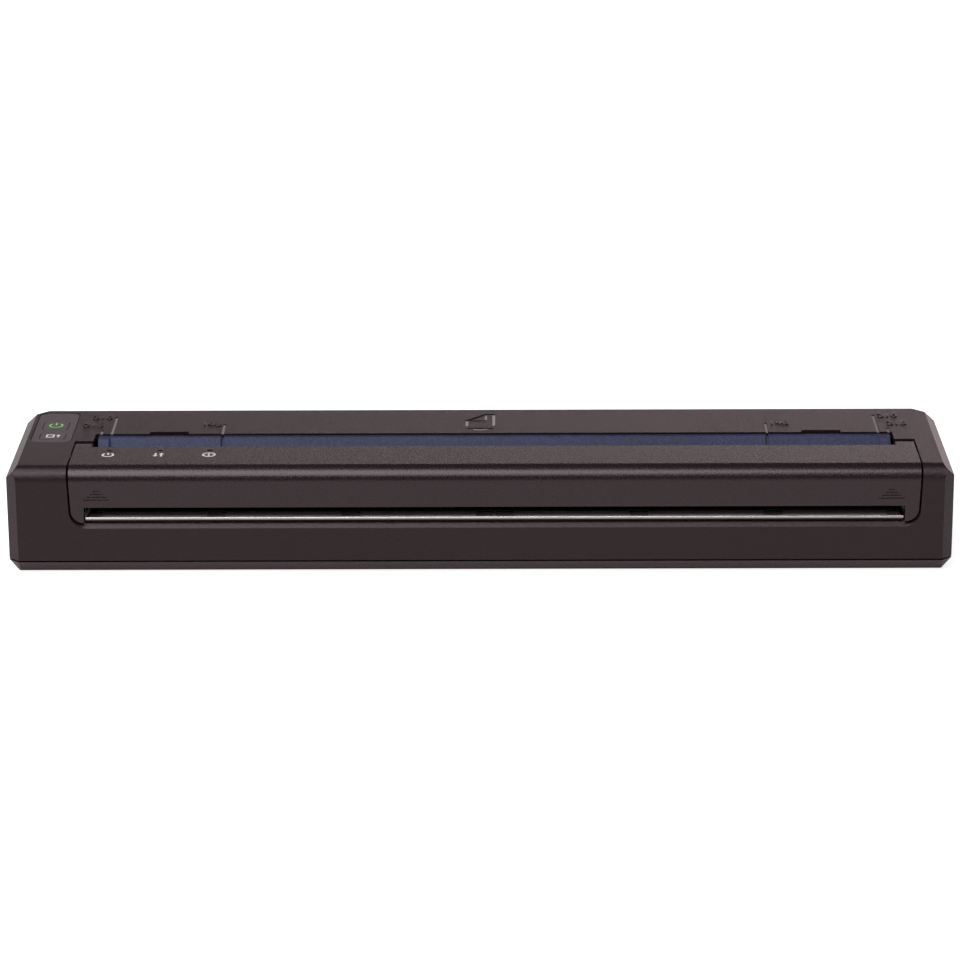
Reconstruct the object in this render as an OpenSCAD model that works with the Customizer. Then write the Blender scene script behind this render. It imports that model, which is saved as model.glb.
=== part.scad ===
// Portable A4 thermal printer, plain and unmarked. Lengths are in millimetres.
// +X is right seen from the front, +Y is to the back, +Z is up.
// The origin is the middle of the footprint, on the desk under the feet.

/* [Body] */
// Overall width
body_w = 255; // [250:1:275]
// Overall depth
body_d = 55; // [54.5:0.5:62]
// Overall height on its feet
body_h = 30; // [29.5:0.5:33]
// How far the feet stand out below the tray
foot_proud = 0.4; // [0.2:0.1:0.6]
// Wall of the mouldings
wall = 1.6; // [1.4:0.1:1.8]
// Thickness of the top faces
top_t = 2; // [1.8:0.1:2.2]
// Leg of the flat across each upright corner
corner_cut = 2.8; // [2:0.1:3.6]
// Width of the slanted strip along each end
end_cut_x = 3; // [2:0.1:3.4]
// Drop of that slanted strip
end_cut_z = 3.2; // [2:0.1:4]
// Radius of the front top edge
front_r = 4; // [3:0.5:5]
// Radius of the rear top edge
rear_r = 2; // [1:0.5:2.5]

/* [Tray] */
// Height of the seam between tray and housing
seam_z = 3.75; // [3.6:0.05:4.2]
// Width of the dark seam
seam_gap = 0.4; // [0.2:0.05:0.6]
// Thickness of the tray floor
floor_t = 1.6; // [1.4:0.1:1.8]
// How far the tray sides lean in at the desk
tray_lean = 2.6; // [1.5:0.1:3.2]
// Radius of a rubber foot
foot_r = 4.5; // [3.5:0.5:5]
// Depth of the pocket a foot sits in
foot_pocket = 0.8; // [0.6:0.1:0.9]
// Radius of the case screw shank
case_screw_r = 1.2; // [1:0.1:1.4]

/* [Release cover] */
// Housing left of the cover
left_block = 16.85; // [15.5:0.05:17.5]
// Housing right of the cover
right_block = 9; // [8.5:0.1:10]
// Joint line round the cover
cover_gap = 0.5; // [0.3:0.05:0.8]
// Height of the slanted ledge below the cover
ledge_h = 1.5; // [1.2:0.05:1.8]
// Depth of the slanted ledge
ledge_run = 1.3; // [1:0.05:1.8]
// Cover shell thickness
cover_t = 2; // [1.8:0.1:2.2]
// Front face to the back edge of the ears
ear_in = 23.6; // [23.2:0.1:23.8]
// Width of the left ear
ear_left_w = 4.55; // [4.4:0.05:5.8]
// Width of the right ear
ear_right_w = 5; // [4.8:0.1:5.8]
// Gap behind the ears
ear_gap = 1.4; // [1:0.1:1.8]
// Radius of the top back edge of an ear
ear_edge_r = 1.4; // [1.2:0.1:1.6]
// Front face to the cover edge at the paper slot
slot_in = 19.5; // [19.2:0.1:20]
// Top face down to the lower end of the cover legs
leg_down = 15.3; // [14.8:0.1:15.5]
// Radius of the lower cover corners
leg_r = 3.5; // [2.5:0.25:6]
// Inward lean of the cover sides over their height
cover_draft = 0.65; // [0:0.05:0.8]
// Top face down to the paper outlet
outlet_down = 10.95; // [10.6:0.05:11.4]
// Left leg width beside the outlet
leg_left_w = 4.05; // [3.8:0.05:5]
// Right leg width beside the outlet
leg_right_w = 4.25; // [3.8:0.05:4.5]
// Thickness of the cover end rims
rim_t = 1.3; // [1:0.1:1.3]
// Top face down to the lowest point of the cover end rims
rim_down = 5.4; // [4:0.1:5.5]
// Depth of the grip grooves
grip_depth = 0.3; // [0.2:0.05:0.5]
// Height of a grip groove
grip_h = 0.4; // [0.3:0.05:0.5]
// Spacing of the grip grooves
grip_pitch = 0.82; // [0.7:0.02:1]

/* [Cover hinge] */
// Front face to the hinge line
hinge_in = 20.9; // [20.8:0.05:21]
// Hinge line below the top face
hinge_down = 3.4; // [3.3:0.05:3.5]
// Hinge pin radius
hinge_r = 1.2; // [1:0.1:1.3]
// Radial clearance of turning parts
run_clear = 0.04; // [0.02:0.01:0.08]

/* [Platen roller] */
// Front face to the roller centre
platen_in = 10.5; // [10.3:0.1:10.7]
// Roller centre below the top face
platen_down = 9; // [8.8:0.1:9.1]
// Radius over the rubber
platen_r = 4.75; // [4.5:0.05:4.8]
// Radius of the steel core
core_r = 2.5; // [2.2:0.1:3]
// Radius of the journals
journal_r = 1.5; // [1.3:0.1:1.7]
// Outer radius of the bushes
bush_r = 2.4; // [2.2:0.1:2.6]
// Thickness of the brackets that carry the roller
bracket_t = 2; // [1.8:0.1:2]

/* [Gear train] */
// Height of the body in tooth modules
gear_share = 60; // [60:1:60]
// Pressure angle
press_a = 25; // [24:0.5:26]
// Thinning of each tooth for backlash
tooth_thin = 0.05; // [0.04:0.01:0.08]
// Teeth of the roller gear
teeth_platen = 20; // [20:1:20]
// Teeth of the idler
teeth_idler = 24; // [24:1:24]
// Teeth of the small reduction gear
teeth_small = 14; // [14:1:14]
// Teeth of the large reduction gear
teeth_large = 40; // [40:1:40]
// Teeth of the motor pinion
teeth_motor = 12; // [12:1:12]
// Direction from roller to idler, back from straight down
lift_a = 36; // [34:0.5:38]
// Gap under the large reduction gear
gear_gap = 1; // [0.8:0.1:1.2]
// Climb of the line from reduction gear to motor
motor_a = 4.4; // [3:0.2:6]
// Width of the first gear layer
gear_w = 2.2; // [1.8:0.1:2.2]
// Radius of the fixed gear studs
stud_r = 1.25; // [1.1:0.05:1.35]
// Outer radius of the motor can
motor_r = 10; // [9:0.25:10]
// Gap between the flat of the motor can and the rear wall
motor_gap = 4.6; // [4.2:0.1:5]
// Length of the motor can
motor_l = 14; // [12:0.5:14]

/* [Print head] */
// Air between rubber and ceramic with no paper in
nip_gap = 0.3; // [0.3:0.05:0.4]
// Ceramic thickness
ceramic_t = 0.8; // [0.6:0.1:1]
// How far the head goes past the rubber at each end
head_side = 0.5; // [0.2:0.1:0.7]
// Thickness of the heat sink
sink_t = 3.35; // [3.2:0.05:3.6]
// Radius of the head pivot pins
pivot_r = 1.2; // [1:0.1:1.3]

/* [Chassis] */
// Sheet steel thickness
steel_t = 0.8; // [0.7:0.05:0.9]
// Roller centre down to the chassis floor
chassis_down = 13; // [12.8:0.1:13.2]

/* [Paper guide] */
// Gap between the left ear and the guide
guide_gap_l = 1; // [0.8:0.1:1.6]
// Gap between the right ear and the guide
guide_gap_r = 0.8; // [0.8:0.1:1.6]
// Width of the raised ends beside the set-back middle
guide_end_w = 3.1; // [2.5:0.1:4]
// How far the middle is set back
guide_step = 1.3; // [1:0.1:1.5]
// Guide lip below the top face
guide_down = 0.3; // [0.2:0.1:0.6]
// Front face to the lip of the raised ends
lip_in = 27.85; // [27.7:0.05:28]
// Distance between the short paper grooves
short_w = 149.9; // [148:0.5:152]

/* [Keys] */
// Width of the key panel
panel_w = 11; // [10.8:0.1:11.2]
// Front face to the front edge of the key panel
panel_in = 24.4; // [24.2:0.1:24.8]
// Rear face to the rear edge of the key panel
panel_out = 3.8; // [3.4:0.1:4.6]
// Corner radius of the key panel
panel_r = 2.5; // [1.5:0.25:3]
// Thickness of the key panel
panel_t = 1.2; // [1:0.1:1.3]
// Gap round the key panel and its keys
key_gap = 0.2; // [0.15:0.05:0.25]
// Power key width
power_w = 6.8; // [6:0.1:7.2]
// Power key length
power_l = 7.1; // [6.5:0.1:7.1]
// Feed key width
feed_w = 6.8; // [6.2:0.1:7.2]
// Feed key length
feed_l = 5.4; // [4.8:0.1:5.4]
// Corner radius of the keys
key_r = 0.9; // [0.5:0.1:1.5]
// Key travel
key_travel = 0.5; // [0.3:0.05:0.5]

/* [Power and data] */
// Battery pack height and depth
pack_d = 18.4; // [17.5:0.1:18.4]
// Gap between the battery pack and the motor
pack_gap = 2; // [1.5:0.5:8]
// Bore radius of the power socket
jack_r = 2.85; // [2.6:0.05:3]
// Radius of the centre pin
jack_pin_r = 1; // [0.8:0.05:1.1]
// Battery door height
door_h = 19.5; // [19:0.1:19.7]
// Battery door hinge rib radius
door_rib_r = 1; // [0.9:0.05:1.1]

/* [Display] */
// Which node to draw

/* [Hidden] */

$fn = 48;
right = body_w / 2;
rear = body_d / 2;
left = -right;
front = -rear;
top = body_h;
tray_top = seam_z - seam_gap / 2;
house_z = seam_z + seam_gap / 2;
floor_z = foot_proud + floor_t;
cl = left + left_block;
cr = right - right_block;
path_x = (cl + cr) / 2 + 0.1;
far = (right + rear) / sqrt(2);
ear_y = front + ear_in;
edge_y = ear_y + ear_gap;
slot_y = front + slot_in;
leg_z = top - leg_down;
outlet_z = top - outlet_down;
rim_z = top - rim_down;
plate_y = front + 31.5;
hinge_y = front + hinge_in;
hinge_z = top - hinge_down;
py = front + platen_in;
pz = top - platen_down;
outlet_l = cl + leg_left_w;
outlet_r = cr - leg_right_w;
ledge_z = leg_z - 0.2;
roll_l = cl + 7.5;
roll_r = cr - 7;
gear_x = cr - 3.9;
layer_x = cr - 1.1;
layer_w = 2.2;
gear_m = body_h / gear_share;
c1 = gear_m * (teeth_platen + teeth_idler) / 2 + 0.03;
c2 = gear_m * (teeth_idler + teeth_small) / 2 + 0.03;
c3 = gear_m * (teeth_large + teeth_motor) / 2 + 0.03;
iy = py + c1 * sin(lift_a);
iz = pz - c1 * cos(lift_a);
kz = floor_z + tip_r(teeth_large) + gear_gap;
climb_a = asin((kz - iz) / c2);
ky = iy + c2 * cos(climb_a);
my = ky + c3 * cos(motor_a);
mz = kz + c3 * sin(motor_a);
motor_flat = rear - wall - motor_gap;
gear_top = kz + tip_r(teeth_large);
ceramic_z = pz - platen_r - nip_gap;
sink_z = ceramic_z - ceramic_t;
pivot_y = front + 21.9;
pivot_z = sink_z - 1.95;
head_l = roll_l - head_side;
head_r = roll_r + head_side;
ch_z = pz - chassis_down;
ch_l = cl + 4.6;
ch_r = cr - 5.7;
ch_front = front + 3.1;
plate_z = leg_z + 0.1;
board_z = floor_z + 0.9;
board_t = 1;
board_top = board_z + board_t;
room = ch_z - board_top;
guide_l = cl + ear_left_w + guide_gap_l;
guide_r = cr - ear_right_w - guide_gap_r;
lip_y = front + lip_in;
panel_x = left + 9.6;
panel_front = front + panel_in;
panel_rear = rear - panel_out;
panel_l = panel_rear - panel_front;
panel_y = (panel_front + panel_rear) / 2;
panel_z = top - 0.1 - panel_t;
power_x = left + 9.55;
power_y = panel_front + 15.15;
feed_x = left + 9.7;
feed_y = panel_front + 5.45;
key_board_z = top - 7.8;
switch_z = key_board_z + 1;
jack_x = left + 9;
jack_z = board_top + 5.5;
usb_x = left + 19.6;
pack_x = cl + 12;
pack_l = ch_r - 0.8 - motor_l - pack_gap - pack_x;
pack_z = floor_z + 3.4;
pack_y = rear - 3.5 - pack_d;
board_rear = pack_y - 2;
door_l = pack_x - 0.95;
door_r = pack_x + pack_l + 0.95;
door_z = floor_z + 3.25;
door_y = rear - door_rib_r;
door_axis_z = door_z + door_rib_r;
door_mid = (door_l + door_r) / 2;
lamp_x = cl + 9.93;
lamp_pitch = 13.65;
lamp_y = front + 16.15;
// Each case screw: x, y
CASE = [[left + 7.5, front + 8.5], [left + 20.2, rear - 15.5],
  [right - 6.6, front + 6.8], [right - 5.5, rear - 6.4]];
// Each chassis screw: x, y
LEGS = [[cl + 13, front + 6.2], [cr - 12.5, front + 6.2], [cl + 13, front + 20.6],
  [cr - 12.5, front + 20.6]];
// Each main board screw: x, y
BOARD = [[left + 5.5, front + 22], [cl + 40, board_rear - 2.6], [cr - 40, board_rear - 2.6],
  [path_x - 5, front + 6]];
// Each key board screw: x, y
KEYS = [[power_x, panel_front + 9.88], [power_x, rear - 3.6]];
// Half widths of the four paper sizes marked on the top, and the marks' rear ends
MARKS = [[108.6, front + 34.7], [105.7, front + 47.1], [75.1, front + 40]];
FEET = [[left + 15, front + 9], [right - 15, front + 9], [left + 15, rear - 9],
  [right - 15, rear - 9]];

// ---- placing helpers ----

module yz(x0, x1) {
  translate([x0, 0, 0])
    rotate([90, 0, 90])
      linear_extrude(height = x1 - x0)
        children();
}

module xz(y0, y1) {
  translate([0, y1, 0])
    rotate([90, 0, 0])
      linear_extrude(height = y1 - y0)
        children();
}

module xy(z0, z1) {
  translate([0, 0, z0])
    linear_extrude(height = z1 - z0)
      children();
}

module box(x0, x1, y0, y1, z0, z1) {
  translate([x0, y0, z0])
    cube([x1 - x0, y1 - y0, z1 - z0]);
}

module rod(x0, x1, y, z, r) {
  translate([x0, y, z])
    rotate([0, 90, 0])
      cylinder(r = r, h = x1 - x0);
}

module post(x, y, z0, z1, r) {
  translate([x, y, z0])
    cylinder(r = r, h = z1 - z0);
}

module ring(x0, x1, y, z, ro, ri) {
  difference() {
    rod(x0, x1, y, z, ro);
    rod(x0 - 1, x1 + 1, y, z, ri);
  }
}

// the sliver outside a rounded corner at the origin, material towards +X +Y
module nick(r) {
  difference() {
    translate([-1, -1])
      square(r + 1);
    translate([r, r])
      circle(r = r);
  }
}

module pad(x, y, w, l, r) {
  difference() {
    translate([x - w / 2, y - l / 2])
      square([w, l]);
    translate([x - w / 2, y - l / 2])
      nick(r);
    translate([x + w / 2, y - l / 2])
      mirror([1, 0])
        nick(r);
    translate([x - w / 2, y + l / 2])
      mirror([0, 1])
        nick(r);
    translate([x + w / 2, y + l / 2])
      mirror([0, 1])
        mirror([1, 0])
          nick(r);
  }
}

module screw(x, y, z_seat, head_r, head_h, shank_r, shank_l, up) {
  translate([x, y, z_seat])
    mirror([0, 0, up ? 1 : 0])
      difference() {
        union() {
          cylinder(r = head_r, h = head_h);
          translate([0, 0, -shank_l])
            cylinder(r = shank_r, h = shank_l);
        }
        translate([0, 0, head_h - 0.5])
          cylinder(r = head_r * 0.5, h = 1, $fn = 6);
      }
}

// ---- body outline ----

module plan(i) {
  c = corner_cut - 0.586 * i;
  x = right - i;
  y = rear - i;
  polygon([[-x + c, -y], [x - c, -y], [x, -y + c], [x, y - c], [x - c, y],
    [-x + c, y], [-x, y - c], [-x, -y + c]]);
}

module side_yz(i, up, z0) {
  difference() {
    translate([front + i, z0])
      square([body_d - 2 * i, top - up - z0]);
    translate([front + i, top - up])
      mirror([0, 1])
        nick(front_r - i);
    translate([rear - i, top - up])
      mirror([0, 1])
        mirror([1, 0])
          nick(max(0.3, rear_r - i));
  }
}

module ends_xz(i, up, z0) {
  x = right - i;
  cx = end_cut_x - 0.5 * i;
  cz = end_cut_z - 0.62 * i;
  polygon([[-x, z0], [x, z0], [x, top - up - cz], [x - cx, top - up],
    [-x + cx, top - up], [-x, top - up - cz]]);
}

// what a flat that leans across the right rear corner takes off, u along the diagonal
module corner_flat(u0, z0, u1, z1) {
  du = (u1 - u0) / 5;
  dz = (z1 - z0) / 5;
  translate([(right - rear) / 2, (rear - right) / 2, 0])
    rotate([0, 0, 45])
      xz(-12, 12)
        polygon([[u0 - du, z0 - dz], [u1 + du, z1 + dz], [far + 9, z1 + dz],
          [far + 9, z0 - dz]]);
}

module form(i, up, z0) {
  u = far - corner_cut / sqrt(2) - 1.3 * i;
  difference() {
    intersection() {
      xy(z0, top)
        plan(i);
      yz(left - 1, right + 1)
        side_yz(i, up, z0);
      xz(front - 1, rear + 1)
        ends_xz(i, up, z0);
    }
    for (s = [0, 1])
      mirror([s, 0, 0])
        corner_flat(u, top - up - end_cut_z, u - end_cut_x * 1.2, top - up);
  }
}

// outline of the cover seen from the front, grown by g
module cover_xz(g, zb, r) {
  h = top - zb;
  dl = cl - g + cover_draft * (1 - r / h);
  dr = cr + g - cover_draft * (1 - r / h);
  difference() {
    polygon([[cl - g + cover_draft, zb], [cr + g - cover_draft, zb], [cr + g, top],
      [cr + g, top + 1], [cl - g, top + 1], [cl - g, top]]);
    translate([dl, zb])
      nick(r);
    translate([dr, zb])
      mirror([1, 0])
        nick(r);
  }
}

// ---- gears ----

function gr(n) = gear_m * n / 2;
function inv(a) = tan(a) * 180 / PI - a;
function base_r(n) = gr(n) * cos(press_a);
function root_r(n) = gr(n) - 1.15 * gear_m;
function tip_r(n) = gr(n) + 0.9 * gear_m;
function start_r(n) = max(base_r(n), root_r(n)) + 0.005;
function half(n, r) = 90 / n - tooth_thin / 2 / gr(n) * 180 / PI + inv(press_a)
  - inv(acos(base_r(n) / r));
function at(r, a) = [r * cos(a), r * sin(a)];
function step_r(n, i) = start_r(n) + (tip_r(n) - start_r(n)) * i / 3;
function mesh(th, a, n1, n2) = th + 180 - 360 / n2 * (0.5 - (th - a) * n1 / 360);

module teeth(n, a) {
  polygon([for (k = [0 : n - 1]) let (c = a + 360 * k / n) each concat(
    start_r(n) > root_r(n) + 0.02 ? [at(root_r(n), c - half(n, start_r(n)))] : [],
    [for (i = [0 : 3]) at(step_r(n, i), c - half(n, step_r(n, i)))],
    [for (i = [3 : -1 : 0]) at(step_r(n, i), c + half(n, step_r(n, i)))],
    start_r(n) > root_r(n) + 0.02 ? [at(root_r(n), c + half(n, start_r(n)))] : [])]);
}

module gear(x0, x1, y, z, n, a, bore) {
  yz(x0, x1)
    translate([y, z])
      difference() {
        teeth(n, a);
        circle(r = bore);
      }
}

th1 = lift_a - 90;
a_idler = mesh(th1, th1, teeth_platen, teeth_idler);
a_small = mesh(climb_a, a_idler, teeth_idler, teeth_small);
a_motor = mesh(motor_a, motor_a, teeth_large, teeth_motor);

// ---- housing ----

module housing_ribs() {
  // left cheek beside the cover
  box(cl - cover_gap - 1.2, cl - cover_gap, front, ear_y, house_z, top);
  // right cheek, full height in front of the gears
  box(cr + cover_gap, cr + cover_gap + 1.2, front, front + 14.5, house_z, top);
  // lip above the gears
  box(cr + cover_gap, cr + cover_gap + 1.2, front, edge_y, gear_top + 0.9, top);
  // hinge blocks
  box(cl - cover_gap - 3, cl - cover_gap, hinge_y - 2.4, hinge_y + 2.4, top - 5.6, top);
  box(cr + cover_gap, cr + cover_gap + 3.2, hinge_y - 2.4, hinge_y + 2.4, hinge_z - 1.8,
    top);
  for (p = CASE)
    post(p[0], p[1], seam_z, top, 2.35);
  for (p = KEYS)
    post(p[0], p[1], switch_z, top, 1.25);
  // door trunnion blocks
  box(door_l - 3.2, door_l - 0.25, rear - 3, rear, door_z - 0.25, door_z + 3);
  box(door_r + 0.25, door_r + 3.2, rear - 3, rear, door_z - 0.25, door_z + 3);
  // stiffening ribs under the rear plate
  for (x = [pack_x + 20 : 50 : pack_x + pack_l - 15])
    box(x, x + 1, plate_y + 4.5, rear, pack_z + pack_d + 1.4, top);
}

module feed_slot() {
  translate([guide_l - guide_gap_l, edge_y - 3])
    square([guide_r + guide_gap_r - guide_l + guide_gap_l, plate_y - edge_y + 3]);
  // finger notches
  translate([path_x - 95.2, plate_y - 1])
    square([10.7, 2.85]);
  translate([path_x + 84.6, plate_y - 1])
    square([10.8, 2.85]);
}

module top_housing() {
  color([0.24, 0.21, 0.22])
    difference() {
      union() {
        difference() {
          form(0, 0, house_z);
          form(wall, top_t, house_z - 1);
        }
        intersection() {
          form(0.2, 0.2, house_z - 1);
          housing_ribs();
        }
      }
      // opening for the release cover
      intersection() {
        xz(front - 1, edge_y)
          cover_xz(cover_gap, ledge_z, leg_r + 0.4);
        box(left, right, front - 1, edge_y, 0, top + 1);
      }
      // slanted ledge below the cover
      hull() {
        xz(front - 0.2, front - 0.1)
          cover_xz(cover_gap, ledge_z - ledge_h, leg_r + 1.4);
        xz(front + ledge_run, front + ledge_run + 0.01)
          cover_xz(cover_gap, ledge_z, leg_r + 0.4);
      }
      xy(top - top_t - 1, top + 1)
        feed_slot();
      // paper size marks
      for (m = MARKS)
        for (s = [-1, 1])
          box(path_x + s * m[0] - 0.4, path_x + s * m[0] + 0.4, plate_y - 1, m[1],
            top - 0.35, top + 1);
      // key panel pocket and key wells
      xy(panel_z, top + 1)
        pad(panel_x, panel_y, panel_w + 2 * key_gap, panel_l + 2 * key_gap, panel_r + key_gap);
      xy(top - top_t - 1, top + 1)
        pad(power_x, power_y, power_w + 2 * key_gap, power_l + 2 * key_gap, key_r + key_gap);
      xy(top - top_t - 1, top + 1)
        pad(feed_x, feed_y, feed_w + 2 * key_gap, feed_l + 2 * key_gap, key_r + key_gap);
      // battery door
      box(door_l - 0.25, door_r + 0.25, rear - 4, rear + 1, door_z - 0.25,
        door_z + door_h + 0.25);
      rod(door_l - 1.9, door_l, door_y, door_axis_z, 0.55 + run_clear);
      rod(door_r, door_r + 1.9, door_y, door_axis_z, 0.55 + run_clear);
      // sockets at the back
      translate([jack_x, rear + 1, jack_z])
        rotate([90, 0, 0])
          cylinder(r = jack_r + 0.6, h = 3);
      box(usb_x - 4.3, usb_x + 4.3, rear - 2, rear + 1, house_z - 1, board_top + 4.9);
      // pin bores
      rod(cl - cover_gap - 2.6, cl, hinge_y, hinge_z, hinge_r);
      rod(cr, cr + cover_gap + 2.8, hinge_y, hinge_z, hinge_r);
      for (p = CASE)
        post(p[0], p[1], seam_z - 1, seam_z + 8, case_screw_r);
      for (p = KEYS)
        post(p[0], p[1], switch_z - 1, switch_z + 3, 0.7);
    }
}

// ---- tray ----

module tray_form() {
  difference() {
    intersection() {
      xy(foot_proud, tray_top)
        plan(0);
      yz(left - 1, right + 1)
        polygon([[front, tray_top], [front + tray_lean, foot_proud],
          [rear - tray_lean, foot_proud], [rear, tray_top]]);
      xz(front - 1, rear + 1)
        polygon([[left, tray_top], [left + tray_lean, foot_proud],
          [right - tray_lean, foot_proud], [right, tray_top]]);
    }
    for (s = [0, 1])
      for (t = [0, 1])
        mirror([s, 0, 0])
          mirror([0, t, 0])
            corner_flat(far - tray_lean * sqrt(2) - 0.2, foot_proud,
              far - corner_cut / sqrt(2), tray_top);
  }
}

module bottom_cover() {
  color([0.27, 0.24, 0.25])
    difference() {
      union() {
        difference() {
          tray_form();
          xy(floor_z, seam_z)
            plan(wall + 1);
        }
        // tongue inside the seam
        difference() {
          xy(tray_top - 0.8, seam_z + 1)
            plan(wall + 0.1);
          xy(tray_top - 2, seam_z + 2)
            plan(wall + 1);
          box(left - 1, door_l - 0.5, rear - 5, rear + 1, tray_top, seam_z + 2);
          box(cl - cover_gap - 1.4, cl - cover_gap + 0.2, front, front + 5, tray_top,
            seam_z + 2);
          box(cr + cover_gap - 0.2, right - 2, front, front + 5, tray_top, seam_z + 2);
        }
        for (p = CASE)
          post(p[0], p[1], foot_proud + 0.5, seam_z, 3.2);
        for (p = LEGS)
          post(p[0], p[1], floor_z - 0.5, ch_z, 2.2);
        for (p = BOARD)
          post(p[0], p[1], floor_z - 0.5, board_z, 2);
        // battery bay: front wall and cradle ribs
        box(pack_x - 1.6, pack_x + pack_l + 0.6, pack_y - 1.6, pack_y - 0.4,
          floor_z - 0.5, pack_z + 9);
        for (x = [pack_x + 7 : 30 : pack_x + pack_l])
          box(x, x + 1.2, pack_y - 1, rear - 2.8, floor_z - 0.5, pack_z);
      }
      for (p = CASE) {
        post(p[0], p[1], foot_proud - 1, foot_proud + 1.7, 2.3);
        post(p[0], p[1], foot_proud, seam_z + 1, case_screw_r + 0.15);
      }
      for (p = LEGS)
        post(p[0], p[1], ch_z - 4, ch_z + 1, 0.9);
      for (p = BOARD)
        post(p[0], p[1], foot_proud + 0.8, board_z + 1, 0.7);
      for (p = FEET)
        post(p[0], p[1], foot_proud - 1, foot_proud + foot_pocket, foot_r);
    }
}

module rubber_feet() {
  color([0.1, 0.1, 0.1])
    for (p = FEET)
      difference() {
        post(p[0], p[1], 0, foot_proud + foot_pocket, foot_r);
        post(p[0], p[1], -1, 0.15, foot_r - 1.2);
      }
}

// ---- release cover ----

module skin_yz() {
  difference() {
    side_yz(0, 0, leg_z - 1);
    difference() {
      translate([front + cover_t, leg_z - 2])
        square([body_d, top - cover_t - leg_z + 2]);
      translate([front + cover_t, top - cover_t])
        mirror([0, 1])
          nick(front_r - cover_t);
    }
  }
}

module ear_yz() {
  difference() {
    union() {
      translate([hinge_y - 2.9, hinge_z])
        square([ear_y - hinge_y + 2.9, hinge_down]);
      translate([hinge_y - 2.9, hinge_z - 1.6])
        square([2.9, 2]);
      translate([hinge_y, hinge_z])
        circle(r = 2.2);
    }
    translate([ear_y, top])
      mirror([0, 1])
        mirror([1, 0])
          nick(ear_edge_r);
  }
}

module bracket_yz() {
  translate([py - 3.2, pz])
    square([6.4, platen_down - 1]);
  translate([py, pz])
    circle(r = 3.2);
}

module grip(x) {
  for (k = [0 : 3]) {
    w = [1.6, 3.1, 5, 7][k];
    z = leg_z + 9 - k * grip_pitch;
    box(x - w / 2, x + w / 2, front - 1, front + grip_depth, z - grip_h / 2,
      z + grip_h / 2);
  }
}

module release_cover() {
  color([0.36, 0.33, 0.34])
    difference() {
      union() {
        intersection() {
          union() {
            // shell
            yz(cl, cr)
              skin_yz();
            // end rims
            difference() {
              yz(cl, cr)
                side_yz(0, 0, rim_z);
              box(cl + rim_t, cr - rim_t, front - 1, rear + 1, 0, top + 1);
            }
          }
          box(cl, cr, front, ear_y, leg_z, top);
          xz(front - 1, rear)
            cover_xz(0, leg_z, leg_r);
          union() {
            box(cl, cr, front, slot_y, 0, top + 1);
            yz(cl, cl + ear_left_w)
              ear_yz();
            yz(cr - ear_right_w, cr)
              ear_yz();
          }
        }
        // solid ears
        yz(cl, cl + ear_left_w)
          ear_yz();
        yz(cr - ear_right_w, cr)
          ear_yz();
        // wall in front of the paper slot
        box(cl + ear_left_w - 1, cr - ear_right_w + 1, slot_y - 1.2, slot_y, top - 6,
          top - cover_t + 0.5);
        // brackets that carry the roller
        yz(roll_l - 2.5, roll_l - 2.5 + bracket_t)
          bracket_yz();
        yz(roll_r + 0.5, roll_r + 0.5 + bracket_t)
          bracket_yz();
        // ribs under the top
        for (x = [cl + 50 : 30 : cr - 20])
          box(x, x + 1, front + 3, slot_y - 1, top - 3.8, top - cover_t + 0.5);
      }
      // paper outlet
      box(outlet_l, outlet_r, front - 1, front + 4, 0, outlet_z);
      // hinge bores
      rod(cl - 1, cl + 4.2, hinge_y, hinge_z, hinge_r + run_clear);
      rod(cr - 4.2, cr + 1, hinge_y, hinge_z, hinge_r + run_clear);
      // bush bores
      rod(roll_l - 4, roll_l, py, pz, bush_r);
      rod(roll_r, roll_r + 4, py, pz, bush_r);
      // indicator windows
      for (k = [0 : 2])
        post(lamp_x + k * lamp_pitch, lamp_y, top - 4, top + 1, 0.8);
      grip(cl + 7.65);
      grip(cr - 7.9);
    }
}

module hinge_pins() {
  color([0.75, 0.75, 0.77]) {
    rod(cl - cover_gap - 2.6, cl + 4, hinge_y, hinge_z, hinge_r);
    rod(cr - 4, cr + cover_gap + 2.8, hinge_y, hinge_z, hinge_r);
  }
}

module light_pipe() {
  color([0.85, 0.9, 0.88]) {
    difference() {
      union() {
        box(lamp_x - 2, lamp_x + 2 * lamp_pitch + 2, lamp_y - 0.8, lamp_y + 0.8,
          top - cover_t - 1, top - cover_t);
        for (k = [0 : 2])
          post(lamp_x + k * lamp_pitch, lamp_y, top - cover_t - 1, top, 0.8);
        box(lamp_x + 3, lamp_x + 4, lamp_y - 0.8, lamp_y + 0.8, top - 3.8, top - 2.5);
        box(lamp_x + 2 * lamp_pitch - 4, lamp_x + 2 * lamp_pitch - 3, lamp_y - 0.8,
          lamp_y + 0.8, top - 3.8, top - 2.5);
      }
    }
  }
}

module indicator_board() {
  color([0.1, 0.35, 0.2])
    box(lamp_x - 3.2, lamp_x + 2 * lamp_pitch + 3.2, lamp_y - 0.8, slot_y - 1.4,
      top - 4.6, top - 3.8);
}

module indicator_leds() {
  color([0.95, 0.95, 0.85])
    for (k = [0 : 2])
      box(lamp_x + k * lamp_pitch - 0.8, lamp_x + k * lamp_pitch + 0.8, lamp_y - 0.4,
        lamp_y + 0.4, top - 3.8, top - 3.05);
}

// ---- roller ----

module platen_shaft() {
  color([0.78, 0.78, 0.8]) {
    rod(roll_l - 0.1, roll_r + 0.1, py, pz, core_r);
    rod(roll_l - 3.6, roll_r + 5.4, py, pz, journal_r);
  }
}

module platen_rubber() {
  color([0.12, 0.12, 0.13])
    ring(roll_l, roll_r, py, pz, platen_r, core_r);
}

module bush(x0, x1, flange) {
  difference() {
    union() {
      rod(x0, x1, py, pz, bush_r);
      rod(flange, flange + 0.4, py, pz, bush_r + 0.6);
    }
    rod(x0 - 2, x1 + 2, py, pz, journal_r + run_clear);
  }
}

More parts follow.
